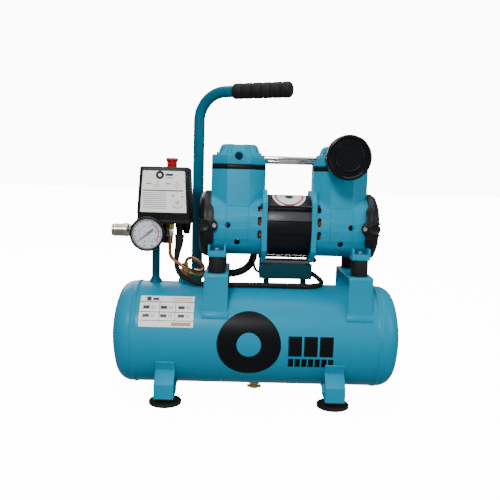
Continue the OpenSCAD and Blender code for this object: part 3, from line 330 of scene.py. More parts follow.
finishes = {
    "teal_paint": paint("teal_paint", TEAL, TEAL_DEEP, 0.33, 0.03 * MM),
    # Painted shade: a darker copy of the same teal paint, so that the handle and the riser look as if they
    # lie in shade.
    "shaded_teal_paint": paint("shaded_teal_paint", colour(0.0, 0.125, 0.2), colour(0.0, 0.115, 0.185), 0.36,
                             0.03 * MM),
    "teal_casting": paint("teal_casting", colour(0.0, 0.29, 0.46), colour(0.0, 0.265, 0.43), 0.4, 0.06 * MM,
                          0.9 * MM),
    # Painted shade: a very dark copy of the teal paint, for teal parts in the shadow under the motor, such as
    # the capacitor box.
    "dark_teal_paint": paint("dark_teal_paint", colour(0.004, 0.05, 0.07), colour(0.003, 0.042, 0.06), 0.3,
                             0.03 * MM, 1.2 * MM),
    "black_rubber": grained("black_rubber", colour(0.008, 0.008, 0.009), colour(0.014, 0.014, 0.015), 0.62,
                            0.7 * MM, 0.05 * MM),
    "black_plastic": grained("black_plastic", colour(0.006, 0.007, 0.008), colour(0.010, 0.011, 0.013), 0.42,
                             0.5 * MM, 0.03 * MM),
    "black_gloss_plastic": grained("black_gloss_plastic", colour(0.003, 0.0035, 0.005),
                                   colour(0.005, 0.006, 0.008), 0.22, 1.5 * MM, 0.01 * MM),
    "black_paint": grained("black_paint", colour(0.004, 0.0045, 0.006), colour(0.007, 0.008, 0.01), 0.33,
                           1.2 * MM, 0.02 * MM),
    "plated_steel": metal("plated_steel", colour(0.66, 0.66, 0.67), colour(0.5, 0.5, 0.5), 0.3),
    "polished_tube": metal("polished_tube", colour(0.82, 0.8, 0.77), colour(0.7, 0.68, 0.65), 0.16,
                           (0.2, 1, 1)),
    "nickel": metal("nickel", colour(0.66, 0.62, 0.52), colour(0.5, 0.45, 0.34), 0.27, (8, 0.5, 0.5)),
    "brass": metal("brass", colour(0.62, 0.46, 0.18), colour(0.4, 0.28, 0.1), 0.32),
    "copper": metal("copper", colour(0.72, 0.3, 0.14), colour(0.5, 0.18, 0.08), 0.28),
    "copper_winding": windings(),
    "aluminium": metal("aluminium", colour(0.72, 0.72, 0.74), colour(0.6, 0.6, 0.62), 0.38),
    "seal_fibre": grained("seal_fibre", colour(0.1, 0.07, 0.04), colour(0.14, 0.1, 0.06), 0.55,
                          0.6 * MM, 0.03 * MM),
    "red_plastic": grained("red_plastic", colour(0.5, 0.012, 0.015), colour(0.42, 0.01, 0.012), 0.35,
                           0.8 * MM, 0.02 * MM),
    "label_white": grained("label_white", colour(0.82, 0.82, 0.8), colour(0.78, 0.78, 0.76), 0.4,
                           1.0 * MM, 0.01 * MM),
    "filter_felt": felt(),
    "clear_lens": clear(),
    "phenolic": grained("phenolic", colour(0.2, 0.12, 0.06), colour(0.26, 0.16, 0.09), 0.5,
                        0.9 * MM, 0.03 * MM),
}


# ---------------------------------------------------------------- modelling helpers

def only(*objects):
    """Leaves just these objects selected, the first of them active."""
    if bpy.context.mode != "OBJECT":
        bpy.ops.object.mode_set(mode="OBJECT")
    bpy.ops.object.select_all(action="DESELECT")
    for o in objects:
        o.select_set(True)
    bpy.context.view_layer.objects.active = objects[0]


def none_selected():
    """Deselects everything, so that what follows acts on the new piece alone."""
    bpy.ops.object.select_all(action="DESELECT")


def editing(piece, everything=True):
    """Opens a piece for editing, with all or nothing selected."""
    only(piece)
    bpy.ops.object.mode_set(mode="EDIT")
    bpy.ops.mesh.select_mode(type="VERT")
    bpy.ops.mesh.select_all(action="SELECT" if everything else "DESELECT")


def picked(piece, kind, wanted):
    """Opens a piece with just the faces or edges selected that pass a test of place and direction."""
    editing(piece, everything=False)
    bpy.ops.mesh.select_mode(type=kind)
    done()
    points = piece.data.vertices
    if kind == "FACE":
        for face in piece.data.polygons:
            face.select = wanted(face.center, face.normal)
    else:
        for edge in piece.data.edges:
            a, b = (points[i].co for i in edge.vertices)
            edge.select = wanted((a + b) / 2, (b - a).normalized())
    bpy.ops.object.mode_set(mode="EDIT")


def done():
    bpy.ops.object.mode_set(mode="OBJECT")


def pull(move):
    """Extrudes what is selected."""
    bpy.ops.mesh.extrude_region_move(TRANSFORM_OT_translate={"value": move})


def outwards():
    bpy.ops.mesh.select_all(action="SELECT")
    bpy.ops.mesh.remove_doubles(threshold=0.002 * MM)
    bpy.ops.mesh.normals_make_consistent(inside=False)


def modified(piece, kind, **settings):
    """Adds one modifier and applies it."""
    only(piece)
    modifier = piece.modifiers.new(kind.lower(), kind)
    for key, value in settings.items():
        setattr(modifier, key, value)
    bpy.ops.object.modifier_apply(modifier=modifier.name)
    return piece


def smoothed(piece, angle=35):
    only(piece)
    bpy.ops.object.shade_smooth_by_angle(angle=math.radians(angle))
    return piece


def rounded(piece, width, segments=2, angle=32):
    """Rounds the edges that are sharper than angle."""
    modified(piece, "BEVEL", width=width, segments=segments, limit_method="ANGLE",
             angle_limit=math.radians(angle), use_clamp_overlap=True)
    return smoothed(piece)


def arc(x, y, r, start, end, steps):
    """Points on an arc, with its angles in degrees."""
    angles = [math.radians(start + (end - start) * i / steps) for i in range(steps + 1)]
    return [(x + r * math.cos(a), y + r * math.sin(a)) for a in angles]


def drawn(points, closed=True):
    """A line pulled out of one vertex from point to point, with a face over it where it is closed."""
    none_selected()
    bpy.ops.mesh.primitive_plane_add(size=MM)
    piece = bpy.context.object
    editing(piece)
    bpy.ops.mesh.merge(type="CENTER")
    bpy.ops.transform.translate(value=points[0])
    for here, there in zip(points, points[1:]):
        pull(Vector(there) - Vector(here))
    if closed:
        bpy.ops.mesh.select_all(action="SELECT")
        bpy.ops.mesh.edge_face_add()
    done()
    return piece


WAYS = {
    "Z": Matrix.Identity(4), "-Z": Matrix.Rotation(math.pi, 4, "X"),
    "X": Matrix.Rotation(TURN / 4, 4, "Y"), "-X": Matrix.Rotation(-TURN / 4, 4, "Y"),
    "-Y": Matrix.Rotation(TURN / 4, 4, "X"), "Y": Matrix.Rotation(-TURN / 4, 4, "X"),
}


def placed(piece, at, along="Z"):
    """Puts a piece that was modelled about the Z axis at its place, pointing along another axis."""
    piece.data.transform(Matrix.Translation(at) @ WAYS[along])
    return piece


def turned(points, at, along="Z", steps=64, angle=TURN):
    """A body turned about an axis from (radius, height) points; a bored outline is closed by its bore."""
    if points[0][0] > 0 and points[-1][0] > 0:
        points = points + [points[0]]
    piece = drawn([(r, 0, h) for r, h in points], closed=False)
    editing(piece)
    bpy.ops.mesh.spin(steps=steps, angle=angle, center=(0, 0, 0), axis=(0, 0, 1))
    outwards()
    done()
    return placed(piece, at, along)


def prism(points, height, at=(0, 0, 0), along="Z"):
    """An upright body over a flat outline."""
    piece = drawn([(x, y, 0) for x, y in points])
    editing(piece)
    pull((0, 0, height))
    outwards()
    done()
    return placed(piece, at, along)


def block(low, high):
    low, high = Vector(low), Vector(high)
    none_selected()
    bpy.ops.mesh.primitive_cube_add(size=1, location=(low + high) / 2, scale=high - low)
    bpy.ops.object.transform_apply()
    return bpy.context.object


def rod(at, along, length, r, sides=48):
    """A cylinder that starts at a point and runs along an axis."""
    none_selected()
    bpy.ops.mesh.primitive_cylinder_add(vertices=sides, radius=r, depth=length, location=(0, 0, length / 2))
    bpy.ops.object.transform_apply()
    return placed(bpy.context.object, at, along)


def combined(piece, operation, *others):
    """Joins other bodies to a piece, or cuts them out of it; the others are used up."""
    for other in others:
        modified(piece, "BOOLEAN", operation=operation, object=other, solver="EXACT")
        bpy.data.objects.remove(other)
    return piece


def cut(piece, *cutters):
    return combined(piece, "DIFFERENCE", *cutters)


def with_parts(piece, *others):
    """Joins loose bodies into one piece without merging their surfaces."""
    only(piece, *others)
    bpy.ops.object.join()
    return piece


def mirrored(piece, middle):
    """A copy on the other side of the plane at X = middle."""
    twin = piece.copy()
    twin.data = piece.data.copy()
    bpy.context.scene.collection.objects.link(twin)
    twin.data.transform(Matrix.Translation((2 * middle, 0, 0)) @ Matrix.Scale(-1, 4, (1, 0, 0)))
    twin.data.flip_normals()
    return twin


def shown_as(piece, name, *stood_for, finish=None, slot=None, body=None):
    """Names a finished piece, gives it its material and lets it stand for its CAD nodes."""
    slot = slot or slot_of[stood_for[0]]
    piece.name = name
    piece.data.name = name
    piece.data.materials.clear()
    piece.data.materials.append((finish or finishes[slot]).material)
    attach(piece, body or nodes[stood_for[0]]["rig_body"])
    if stood_for:
        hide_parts(*stood_for)
    return piece


def softened(node, width=0.5 * MM, segments=2, finish=None):
    """A copy of a CAD node with its edges rounded."""
    piece = bpy.data.objects.new(node, nodes[node].data.copy())
    bpy.context.scene.collection.objects.link(piece)
    editing(piece)
    bpy.ops.mesh.remove_doubles(threshold=0.001 * MM)
    bpy.ops.mesh.dissolve_limited(angle_limit=math.radians(0.6))
    done()
    rounded(piece, width, segments)
    return shown_as(piece, node + "_shown", node, finish=finish)


# ---------------------------------------------------------------- cords and pipes

HOSE = [(-34.7, 64, 378), (-35, 66, 350), (-33, 68, 320), (-28, 67, 285), (-18, 64, 258), (-9, 54, 240),
        (-6, 40, 226), (-14, 27, 210), (-32, 17, 200), (-60, 10, 197.5), (-85, 6, 197.5), (-105, 5, 197.9)]
MOTOR_CABLE = [(-125.5, -42, 266.8), (-126, -42.5, 252), (-129, -42, 236), (-130, -40, 220), (-126, -38, 205),
               (-114, -35, 195), (-98, -32, 188), (-66, -27, 185), (-25, -25, 185.5), (10, -25, 186),
               (60, -25, 186), (88, -24, 186), (103, -14, 187), (107, 0, 190), (102, 7, 195),
               (89.3, 8, 203.5)]
LEAD = [(-6, -12, 240), (-6, -12.5, 230), (-6.5, -13, 222), (-5, -12, 213), (-1, -11, 207), (5, -10, 206)]
COPPER_PIPE = [(-139, -54, 266), (-139, -54, 250), (-138.5, -53, 236), (-134, -50, 228), (-122, -43, 218),
               (-107, -35, 209), (-96, -28, 205), (-89, -20, 206.5), (-89.5, -11, 213), (-98, -3, 220),
               (-109, 2, 224), (-117, 4.5, 221), (-120, 5, 211.9)]


def smooth_route(points, steps=6):
    """A smooth line through chosen points, given in millimetres."""
    last = len(points) - 1
    route = []
    for i in range(last):
        a, b, c, d = (Vector(points[k]) for k in (max(i - 1, 0), i, i + 1, min(i + 2, last)))
        for step in range(steps):
            u = step / steps
            square, cube = 2 * a - 5 * b + 4 * c - d, 3 * b - a - 3 * c + d
            route.append((2 * b + (c - a) * u + square * u ** 2 + cube * u ** 3) * 0.5 * MM)
    return route + [Vector(points[last]) * MM]


def line_along(name, route, r):
    """A round bar along a line of points."""
    line = bpy.data.curves.new(name, "CURVE")
    line.dimensions = "3D"
    line.bevel_depth = r
    line.bevel_resolution = 6
    line.use_fill_caps = True
    spline = line.splines.new("POLY")
    spline.points.add(len(route) - 1)
    for point, place in zip(spline.points, route):
        point.co = (*place, 1)
    piece = bpy.data.objects.new(name, line)
    bpy.context.scene.collection.objects.link(piece)
    return piece


def tube_along(name, route, r, node, slot=None):
    """A cord or pipe that stands for its CAD node."""
    return shown_as(line_along(name, route, r), name, node, slot=slot)


def joined_lines(lines, name):
    """One raised piece of the castings, made of many bars."""
    only(*lines)
    bpy.ops.object.convert(target="MESH")
    bpy.ops.object.join()
    piece = smoothed(bpy.context.object, 60)
    return shown_as(piece, name, slot="teal_casting", body="frame")


def length_of(route):
    """Length of a line of points."""
    return sum((b - a).length for a, b in zip(route, route[1:]))


def cords():
    """Motor cable, thermal lead and discharge hose; each goes back into the object at both ends."""
    for name, points, r, node, stiffness in (
            ("motor_cable", MOTOR_CABLE, 4 * MM, "motor_cables", "medium"),
            ("motor_lead", LEAD, 2.2 * MM, "motor_cables", "medium"),
            ("discharge_hose_line", HOSE, 6.5 * MM, "discharge_hose", "stiff")):
        route = smooth_route(points)
        piece = tube_along(name, route, r, node, "black_rubber")
        if name == "motor_cable":
            boot = tube_along("cable_boot", route[:15], r + 0.4 * MM, node, "black_rubber")
            wide, taper, ridge = 1.85, 0.8, 0.12
            for i, point in enumerate(boot.data.splines[0].points):
                point.radius = wide - taper * i / 14 - (ridge if i % 2 else 0.0)
            only(boot)
            bpy.ops.object.convert(target="MESH")
        round(length_of(route), 3)


def hex_nut(at, along, length, flats):
    """A hexagon with its corners turned down."""
    return rounded(rod(at, along, length, flats / math.sqrt(3), 6), 0.08 * flats, 3)


def pipe_fittings():
    """Copper pipe with its nuts, and the hose's elbow and ferrules."""
    tube_along("unloader_line", smooth_route(COPPER_PIPE), 2.8 * MM, "unloader_pipe")
    steel_nut = hex_nut((*UNLOADER_AT, 265 * MM), "Z", 11 * MM, 11 * MM)
    shown_as(steel_nut, "unloader_nut", "unloader_pipe", slot="plated_steel")
    brass_nut = hex_nut((*UNLOADER_AT, 276 * MM), "Z", 9 * MM, 12.5 * MM)
    lower_nut = hex_nut((*CHECK_VALVE_AT, 207 * MM), "Z", 8 * MM, 10 * MM)
    with_parts(brass_nut, lower_nut)
    shown_as(brass_nut, "unloader_fittings", "unloader_pipe", slot="brass")
    collar = turned(mm((6, 0), (11, 0), (10.6, 2), (8.4, 5), (7.2, 8.5), (6, 10)),
                    (-168 * MM, 0, 183.4 * MM), "Z", 40)
    smoothed(collar, 50)
    # Painted shade: the collar takes the darker copy of the teal paint.
    shown_as(collar, "riser_collar", finish=finishes["shaded_teal_paint"], slot="teal_paint", body="frame")
    port = Vector((-34.7 * MM, 34 * MM, 392 * MM))
    elbow = rod(port, "Y", 30 * MM, 6.4 * MM)
    flange = hex_nut(port + Vector((0, 5 * MM, 0)), "Y", 6 * MM, 17 * MM)
    drop = turned(mm((0, 0), (6.2, 0), (7.4, 1), (7.4, 12), (6.6, 13), (7, 14), (7, 25), (5.5, 27), (0, 27)),
                  (port.x, 64 * MM, 370 * MM), "Z", 32)
    ferrule = turned(mm((0, 0), (7.3, 0), (7.8, 1), (7.8, 14), (7, 15), (0, 15)),
                     (-105 * MM, 5 * MM, 197.9 * MM), "X", 32)
    with_parts(elbow, flange, drop, ferrule)
    smoothed(elbow, 35)
    shown_as(elbow, "hose_fittings", "discharge_hose", slot="brass")


# ---------------------------------------------------------------- tank

def dish(r, depth, knuckle):
    """Half outline of a dished head, from its rim to its crown, as (radius, height)."""
    crown = ((r - knuckle) ** 2 + depth ** 2 - knuckle ** 2) / (2 * (depth - knuckle))
    meet = math.degrees(math.atan2(crown - depth, r - knuckle))
    return arc(r - knuckle, 0, knuckle, 0, meet, 12) + arc(0, depth - crown, crown, meet, 90, 12)[1:]


def tank_finish(seam, middle_z):
    """Tank paint, with rippled weld beads and a plain device: a ring, three blocks and a row of dashes."""
    coat = paint("tank_paint", TEAL, TEAL_DEEP, 0.33, 0.03 * MM)
    x, y, z = coat.axes()
    front = y.below(0.0)
    up = z - middle_z
    out = (x + 12 * MM).squared() + up.squared()
    ring = out.below((50 * MM) ** 2) * out.above((19 * MM) ** 2)
    block_row = up.between(-17 * MM, 15 * MM) * x.between(49.5 * MM, 123 * MM)
    blocks = block_row * ((x - 49.5 * MM) / (24.5 * MM)).fraction().below(0.86)
    dash_row = up.between(-35 * MM, -21 * MM) * x.between(50 * MM, 122.8 * MM)
    dashes = dash_row * ((x - 50 * MM) / (10.4 * MM)).fraction().below(0.8)
    printed = (ring + blocks + dashes) * front
    plain = coat.mixed(coat.noise(0.05, 3), TEAL, TEAL_DEEP)
    coat.feed("Base Color", coat.mixed(printed, plain, colour(0.004, 0.0045, 0.006)))
    bead = (x.size() - seam).between(0.0, 5 * MM)
    around = y.math("ARCTAN2", y, up)
    ripple = (around * 170).sine() * bead * 0.4
    coat.relief(coat.noise(1.4 * MM, 3) * 0.15 + ripple, 0.25 * MM)
    return coat


def tank():
    """Shell, dished heads and bung, with a rounded weld bead where each head meets the shell."""
    low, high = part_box("tank_shell")
    r = (high.y - low.y) / 2
    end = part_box("tank_heads")[1].x
    head_depth, knuckle, bead_height = 35 * MM, 25 * MM, 1.4 * MM
    rim = end - head_depth
    seam = rim - 9 * MM
    half = [(r, 0), (r, seam - 3 * MM)]
    for step in range(9):
        swell = bead_height * math.sin(math.radians(step * 22.5)) ** 2
        half.append((r + swell, seam + (step - 2) * 1.25 * MM))
    half += [(x, rim + h) for x, h in dish(r, head_depth, knuckle)]
    half[-1] = (0, end)
    profile = [(x, -h) for x, h in reversed(half[1:])] + half[1:]
    body = turned(profile, (0, 0, low.z + r), "X", 128)
    smoothed(body, 20)
    bung_z = low.z + 2 * r - 8 * MM
    bung = rod((*CHECK_VALVE_AT, bung_z), "Z", high.z - bung_z, 11 * MM)
    rounded(bung, 1 * MM, 3)
    with_parts(body, bung)
    shown_as(body, "tank", "tank_shell", "tank_heads", finish=tank_finish(seam, low.z + r))


def rating_label():
    """Blank rating plate: white foil with a thin grid and plain bars in place of its print."""
    low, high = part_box("rating_plate")
    foil = grained("rating_print", FOIL, FOIL_DULL, 0.4, 1.0 * MM, 0.01 * MM)
    x, _, z = foil.axes()
    across = (x - low.x) / (high.x - low.x)
    up = (z - low.z) / (high.z - low.z)
    row_half, column_half = 0.011, 0.005
    rows = (up - 0.82).size().below(row_half) + (up - 0.5).size().below(row_half)
    rows = rows + (up - 0.22).size().below(row_half)
    columns = (across - 0.37).size().below(column_half) + (across - 0.66).size().below(column_half)
    columns = columns * up.between(0.22, 0.82)
    head_bar = across.between(0.12, 0.2) * up.between(0.85, 0.97)
    head_bar = head_bar + across.between(0.23, 0.34) * up.between(0.87, 0.94)
    cell = ((across - 0.04) * 3.1).fraction()
    values = cell.between(0.08, 0.45) + cell.between(0.52, 0.78) * 0.4
    values = values * (up.between(0.6, 0.7) + up.between(0.33, 0.43)) * across.above(0.05)
    ink = (rows + columns + head_bar + values).capped()
    orange = (up.between(0.86, 0.89) + up.between(0.92, 0.955)) * 0.7 + up.between(0.05, 0.17)
    orange = orange * across.between(0.6, 0.95)
    base = foil.mixed(ink, FOIL, colour(0.06, 0.06, 0.07))
    foil.feed("Base Color", foil.mixed(orange, base, colour(0.62, 0.26, 0.12)))
    nodes["rating_plate"].data.materials[0] = foil.material


# ---------------------------------------------------------------- handle

def handle():
    """One bent tube: post, bend and arm, drawn from a ring."""
    low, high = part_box("handle_tube")
    bend_r, reach = 48 * MM, 163 * MM
    post = Vector((*HANDLE_AT, low.z))
    straight = high.z - HANDLE_R - bend_r - low.z
    ahead = Vector((math.cos(ARM_TURN), -math.sin(ARM_TURN), 0))
    none_selected()
    bpy.ops.mesh.primitive_circle_add(vertices=48, radius=HANDLE_R, fill_type="NGON", location=post)
    bpy.ops.object.transform_apply()
    tube = bpy.context.object
    editing(tube)
    pull((0, 0, straight))
    bpy.ops.mesh.spin(steps=20, angle=TURN / 4, center=post + ahead * bend_r + Vector((0, 0, straight)),
                      axis=ahead.cross(Vector((0, 0, 1))))
    pull(ahead * (reach - bend_r))
    outwards()
    done()
    smoothed(tube, 40)
    # Painted shade: the handle takes the darker copy of the teal paint.
    shown_as(tube, "handle", "handle_tube", finish=finishes["shaded_teal_paint"])


def grip():
    """Ribbed rubber grip: six barrel-shaped segments and a domed end."""
    length, r, start = 102 * MM, 13 * MM, 65 * MM
    segment = length / 6
    groove, lip = 1.7 * MM, 1.6 * MM
    profile = [(0, 0), (r - lip, 0)]
    for i in range(6):
        first, last = i * segment, (i + 1) * segment
        profile += [(r - groove, first + 0.5 * MM), (r - 0.5 * MM, first + 1.3 * MM), (r, first + 3.2 * MM)]
        if i < 5:
            profile += [(r, last - 3.2 * MM), (r - 0.5 * MM, last - 1.3 * MM), (r - groove, last - 0.5 * MM)]
    profile += arc(r - 6 * MM, length - 6 * MM, 6 * MM, 0, 90, 8) + [(0, length)]
    sleeve = turned(profile, (start, 0, 0), "X", 64)
    arm_end = Matrix.Translation((*HANDLE_AT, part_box("handle_tube")[1].z - HANDLE_R))
    sleeve.data.transform(arm_end @ Matrix.Rotation(-ARM_TURN, 4, "Z"))
    smoothed(sleeve, 50)
    shown_as(sleeve, "grip", "handle_grip")


# ---------------------------------------------------------------- controls

COVER_TAPER = (75 / 84, 59 / 68)  # its top against its foot, in X and in Y


def switch_cover():
    """Moulded cover: it tapers upwards, has rounded corners and a rebated skirt."""
    low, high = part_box("switch_cover")
    middle = (low + high) / 2
    cover = block(low, high)
    picked(cover, "FACE", lambda place, way: way.z > 0.9)
    bpy.ops.transform.resize(value=(*COVER_TAPER, 1), center_override=(middle.x, middle.y, high.z))
    picked(cover, "EDGE", lambda place, way: abs(way.z) > 0.9)
    bpy.ops.mesh.bevel(offset=6 * MM, segments=5)
    picked(cover, "EDGE", lambda place, way: place.z > high.z - 0.1 * MM)
    bpy.ops.mesh.bevel(offset=4 * MM, segments=4)
    for height in (9.0, 10.2):
        editing(cover)
        bpy.ops.mesh.bisect(plane_co=(0, 0, low.z + height * MM), plane_no=(0, 0, 1))
    done()
    picked(cover, "FACE", lambda place, way: place.z < low.z + 9.1 * MM and abs(way.z) < 0.5)
    bpy.ops.transform.resize(value=(0.984, 0.98, 1), center_override=(middle.x, middle.y, 0))
    done()
    modified(cover, "BEVEL", width=0.35 * MM, segments=2, limit_method="ANGLE", angle_limit=math.radians(40))
    smoothed(cover, 40)
    hole = rod((*KNOB_AT, high.z - 3 * MM), "Z", 8 * MM, 8.6 * MM)
    cut(cover, hole)
    seam = block((middle.x + 30 * MM, middle.y - 14 * MM, low.z + 12 * MM),
                 (high.x + 4 * MM, middle.y - 13 * MM, high.z - 3 * MM))
    cut(cover, seam)
    smoothed(cover, 40)
    shown_as(cover, "switch_housing", "switch_cover")
    switch_label(low, high)


def label_print(middle_x, bottom_z):
    """White foil with plain bars, dots and a ring where instructions would be."""
    foil = grained("switch_print", FOIL, FOIL_DULL, 0.4, 1.0 * MM, 0.01 * MM)
    x, _, z = foil.axes()
    x = (x - middle_x) / MM
    z = (z - bottom_z) / MM

    def bar(x0, x1, z0, z1):
        return x.between(x0, x1) * z.between(z0, z1)

    def away(x0, z0):
        dx, dz = x - x0, z - z0
        return (dx * dx + dz * dz).root()

    black = away(-6, 57).between(2.6, 6.4) + bar(2.5, 14, 56, 59) + bar(-32, 30, 32.6, 34.2)
    rows = (z / 2.9).fraction().below(0.32) * bar(-32, 4, 4, 30.5)
    grey = bar(3.5, 13.5, 52.2, 53.6) + rows
    dot = away(21.7, 16)
    red = dot.between(3.1, 3.8) + dot.below(2.2) * (bar(21.1, 22.3, 12, 20) + bar(18, 26, 15.4, 16.6))
    red = red + away(14.4, 26).below(1.5) + away(28.8, 24.5).below(1.5) + dot.between(8.2, 9.4) * z.below(11)
    for side in (-27, 3):
        red = red + bar(side, side + 8, 43, 44.6) + bar(side + 16.4, side + 17.8, 44.5, 48)
        red = red + bar(side + 12.5, side + 21.5, 42, 42.8) + bar(side + 13.5, side + 20.5, 39, 39.8)
    shade = foil.mixed(grey.capped(), FOIL, colour(0.22, 0.22, 0.23))
    shade = foil.mixed(black.capped(), shade, colour(0.02, 0.02, 0.022))
    foil.feed("Base Color", foil.mixed(red.capped(), shade, colour(0.62, 0.05, 0.06)))
    return foil


def switch_label(low, high):
    """Label plate that lies on the leaning front of the switch cover."""
    half_depth, cover_height = 34, 82
    lean = math.atan2((1 - COVER_TAPER[1]) * half_depth, cover_height)
    base_z = low.z + 12 * MM
    half_low, half_high, tall = 35.6 * MM, 32 * MM, 63.5 * MM
    plate = prism([(-half_low, 0), (half_low, 0), (half_high, tall), (-half_high, tall)], 0.5 * MM)
    picked(plate, "EDGE", lambda place, way: abs(way.z) > 0.9)
    bpy.ops.mesh.bevel(offset=1.5 * MM, segments=3)
    done()
    front = low.y + 12 * MM * math.tan(lean) - 0.2 * MM
    middle_x = (low.x + high.x) / 2
    turn = Matrix.Rotation(TURN / 4 - lean, 4, "X")
    plate.data.transform(Matrix.Translation((middle_x, front, base_z)) @ turn)
    smoothed(plate, 30)
    shown_as(plate, "switch_label", finish=label_print(middle_x, base_z), slot="label_white", body="frame")


def switch_knob():
    """Pull knob with a flared, dished head."""
    low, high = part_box("switch_knob")
    tall = (high.z - low.z) / MM
    knob = turned(mm((0, 0), (7.4, 0), (7.9, 0.5), (7.9, tall - 6.4), (8.7, tall - 4.4), (9.6, tall - 3.6),
                     (9.6, tall - 1.0), (8.7, tall), (6.6, tall), (5.8, tall - 0.9), (0, tall - 1.2)),
                  (*KNOB_AT, low.z), "Z", 48)
    smoothed(knob, 45)
    shown_as(knob, "switch_pull", "switch_knob")


def dial_print(centre, zero):
    """Pale dial with a ticked scale, a red arc and a thin blue inner scale."""
    face = grained("dial_print", DIAL, DIAL_DULL, 0.35, 1.2 * MM, 0.005 * MM)
    x, _, z = face.axes()
    x = (x - centre.x) / MM
    z = (z - centre.z) / MM
    out = (x * x + z * z).root()
    sweep = ((math.radians(zero) - z.math("ARCTAN2", z, x)) / TURN).fraction() * 360
    scale = sweep.below(259.5)

    def ticks(step, width):
        return (((sweep / step + 0.5).fraction() - 0.5) * step).size().below(width)

    black = ticks(25.8, 1.6) * out.between(17.6, 21.2) + ticks(5.16, 0.9) * out.between(19.6, 21.2)
    black = black * scale + out.between(21.2, 21.5) * scale
    blue = (ticks(12.9, 0.7) * out.between(10.6, 12.2) + out.between(12.2, 12.5)) * scale
    blue = blue + (x + 4.5).size().below(2.4) * (z + 18).size().below(0.9)
    red = sweep.between(155, 259) * out.between(15.4, 17.6)
    red = red + (x - 7).size().below(2.4) * (z + 18).size().below(0.9)
    shade = face.mixed(blue, DIAL, colour(0.08, 0.2, 0.5))
    shade = face.mixed(black.capped(), shade, colour(0.02, 0.022, 0.03))
    face.feed("Base Color", face.mixed(red, shade, colour(0.55, 0.03, 0.06)))
    return face


def gauge():
    """Case with a stepped bezel, dial with figures, pointer and its hub."""
    zero, figure_step = 219, 51.6
    low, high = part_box("gauge_case")
    centre = Vector(((low.x + high.x) / 2, 0, (low.z + high.z) / 2))
    r, front, back = 26.2, 91, 69.5
    profile = [(0, 40), (7, 40), (8, 41), (8, back), (r - 4, back), (r - 2, back + 1), (r - 1.2, back + 3),
               (r - 1.2, front - 8.5), (r - 0.4, front - 7.6), (r, front - 6.8), (r, front - 1.6),
               (r - 0.4, front - 0.6), (r - 1.2, front), (r - 2, front - 0.3), (r - 2.9, front - 1.5),
               (r - 3.1, front - 2.4), (r - 3.3, front - 6), (r - 4, front - 9), (0, front - 9)]
    case = turned(mm(*profile), centre, "-Y", 96)
    smoothed(case, 40)
    shown_as(case, "gauge_body", "gauge_case")
    dial = turned(mm((1.4, 0), (22.0, 0), (22.2, 0.3), (22.2, 0.9), (21.9, 1.1), (1.4, 1.1)),
                  centre + Vector((0, -81.9 * MM, 0)), "-Y", 96)
    smoothed(dial, 30)
    shown_as(dial, "gauge_dial", finish=dial_print(centre, zero), slot="label_white", body="frame")
    figures, reach = [], 13.2 * MM
    for i in range(6):
        angle = math.radians(zero - i * figure_step)
        bpy.ops.object.text_add()
        figure = bpy.context.object
        figure.data.body = str(2 * i)
        figure.data.size = 4.4 * MM
        figure.data.align_x = figure.data.align_y = "CENTER"
        figure.data.extrude = 0.05 * MM
        bpy.ops.object.convert(target="MESH")
        figure = bpy.context.object
        place = centre + Vector((reach * math.cos(angle), -83.05 * MM, reach * math.sin(angle)))
        figures.append(placed(figure, place, "-Y"))
    with_parts(*figures)
    shown_as(figures[0], "gauge_figures", slot="black_plastic", body="frame")
    screws = [turned(mm((0, 0), (1.5, 0), (1.5, 0.5), (1.1, 0.8), (0, 0.8)),
                     centre + Vector((x * MM, -82.9 * MM, -11.9 * MM)), "-Y", 20) for x in (-4.2, 7.1)]
    with_parts(*screws)
    smoothed(screws[0], 40)
    shown_as(screws[0], "dial_screws", slot="brass", body="frame")
    pointer = prism(mm((-1.3, -11), (1.3, -11), (1.5, -4), (0.9, 3), (0.32, 19.5), (-0.32, 19.5), (-0.9, 3),
                       (-1.5, -4)), 0.6 * MM)
    pointer.data.transform(Matrix.Rotation(math.radians(zero - 90), 4, "Z"))
    placed(pointer, centre + Vector((0, -84.2 * MM, 0)), "-Y")
    stem = rod(centre + Vector((0, -77 * MM, 0)), "-Y", 7.6 * MM, 0.9 * MM, 24)
    with_parts(pointer, stem)
    rounded(pointer, 0.12 * MM, 1)
    shown_as(pointer, "gauge_pointer", "gauge_needle")
    hub = turned(mm((0, 0), (2.5, 0), (2.5, 0.8), (2.0, 1.4), (0, 1.6)),
                 centre + Vector((0, -84.6 * MM, 0)), "-Y", 32)
    smoothed(hub, 40)
    shown_as(hub, "pointer_hub", slot="brass", body="needle")


def coupler():
    """Quick coupler: ridged sleeve over a body with a hexagon."""
    low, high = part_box("coupler_sleeve")
    axis = Vector((low.x, -35 * MM, 271 * MM))
    r = 10.4
    long = (high.x - low.x) / MM
    profile = [(8.2, 0), (r - 0.8, 0), (r, 0.8)]
    for start in (4.0, 7.4, 10.8, 14.2):
        profile += [(r, start), (r - 0.9, start + 0.6), (r - 0.9, start + 1.8), (r, start + 2.4)]
    profile += [(r, long - 3.5), (r - 0.7, long - 1.2), (r - 1.4, long), (8.2, long)]
    sleeve = turned(mm(*profile), axis, "X", 64)
    smoothed(sleeve, 25)
    shown_as(sleeve, "coupler_ring", "coupler_sleeve")


# ---------------------------------------------------------------- pump

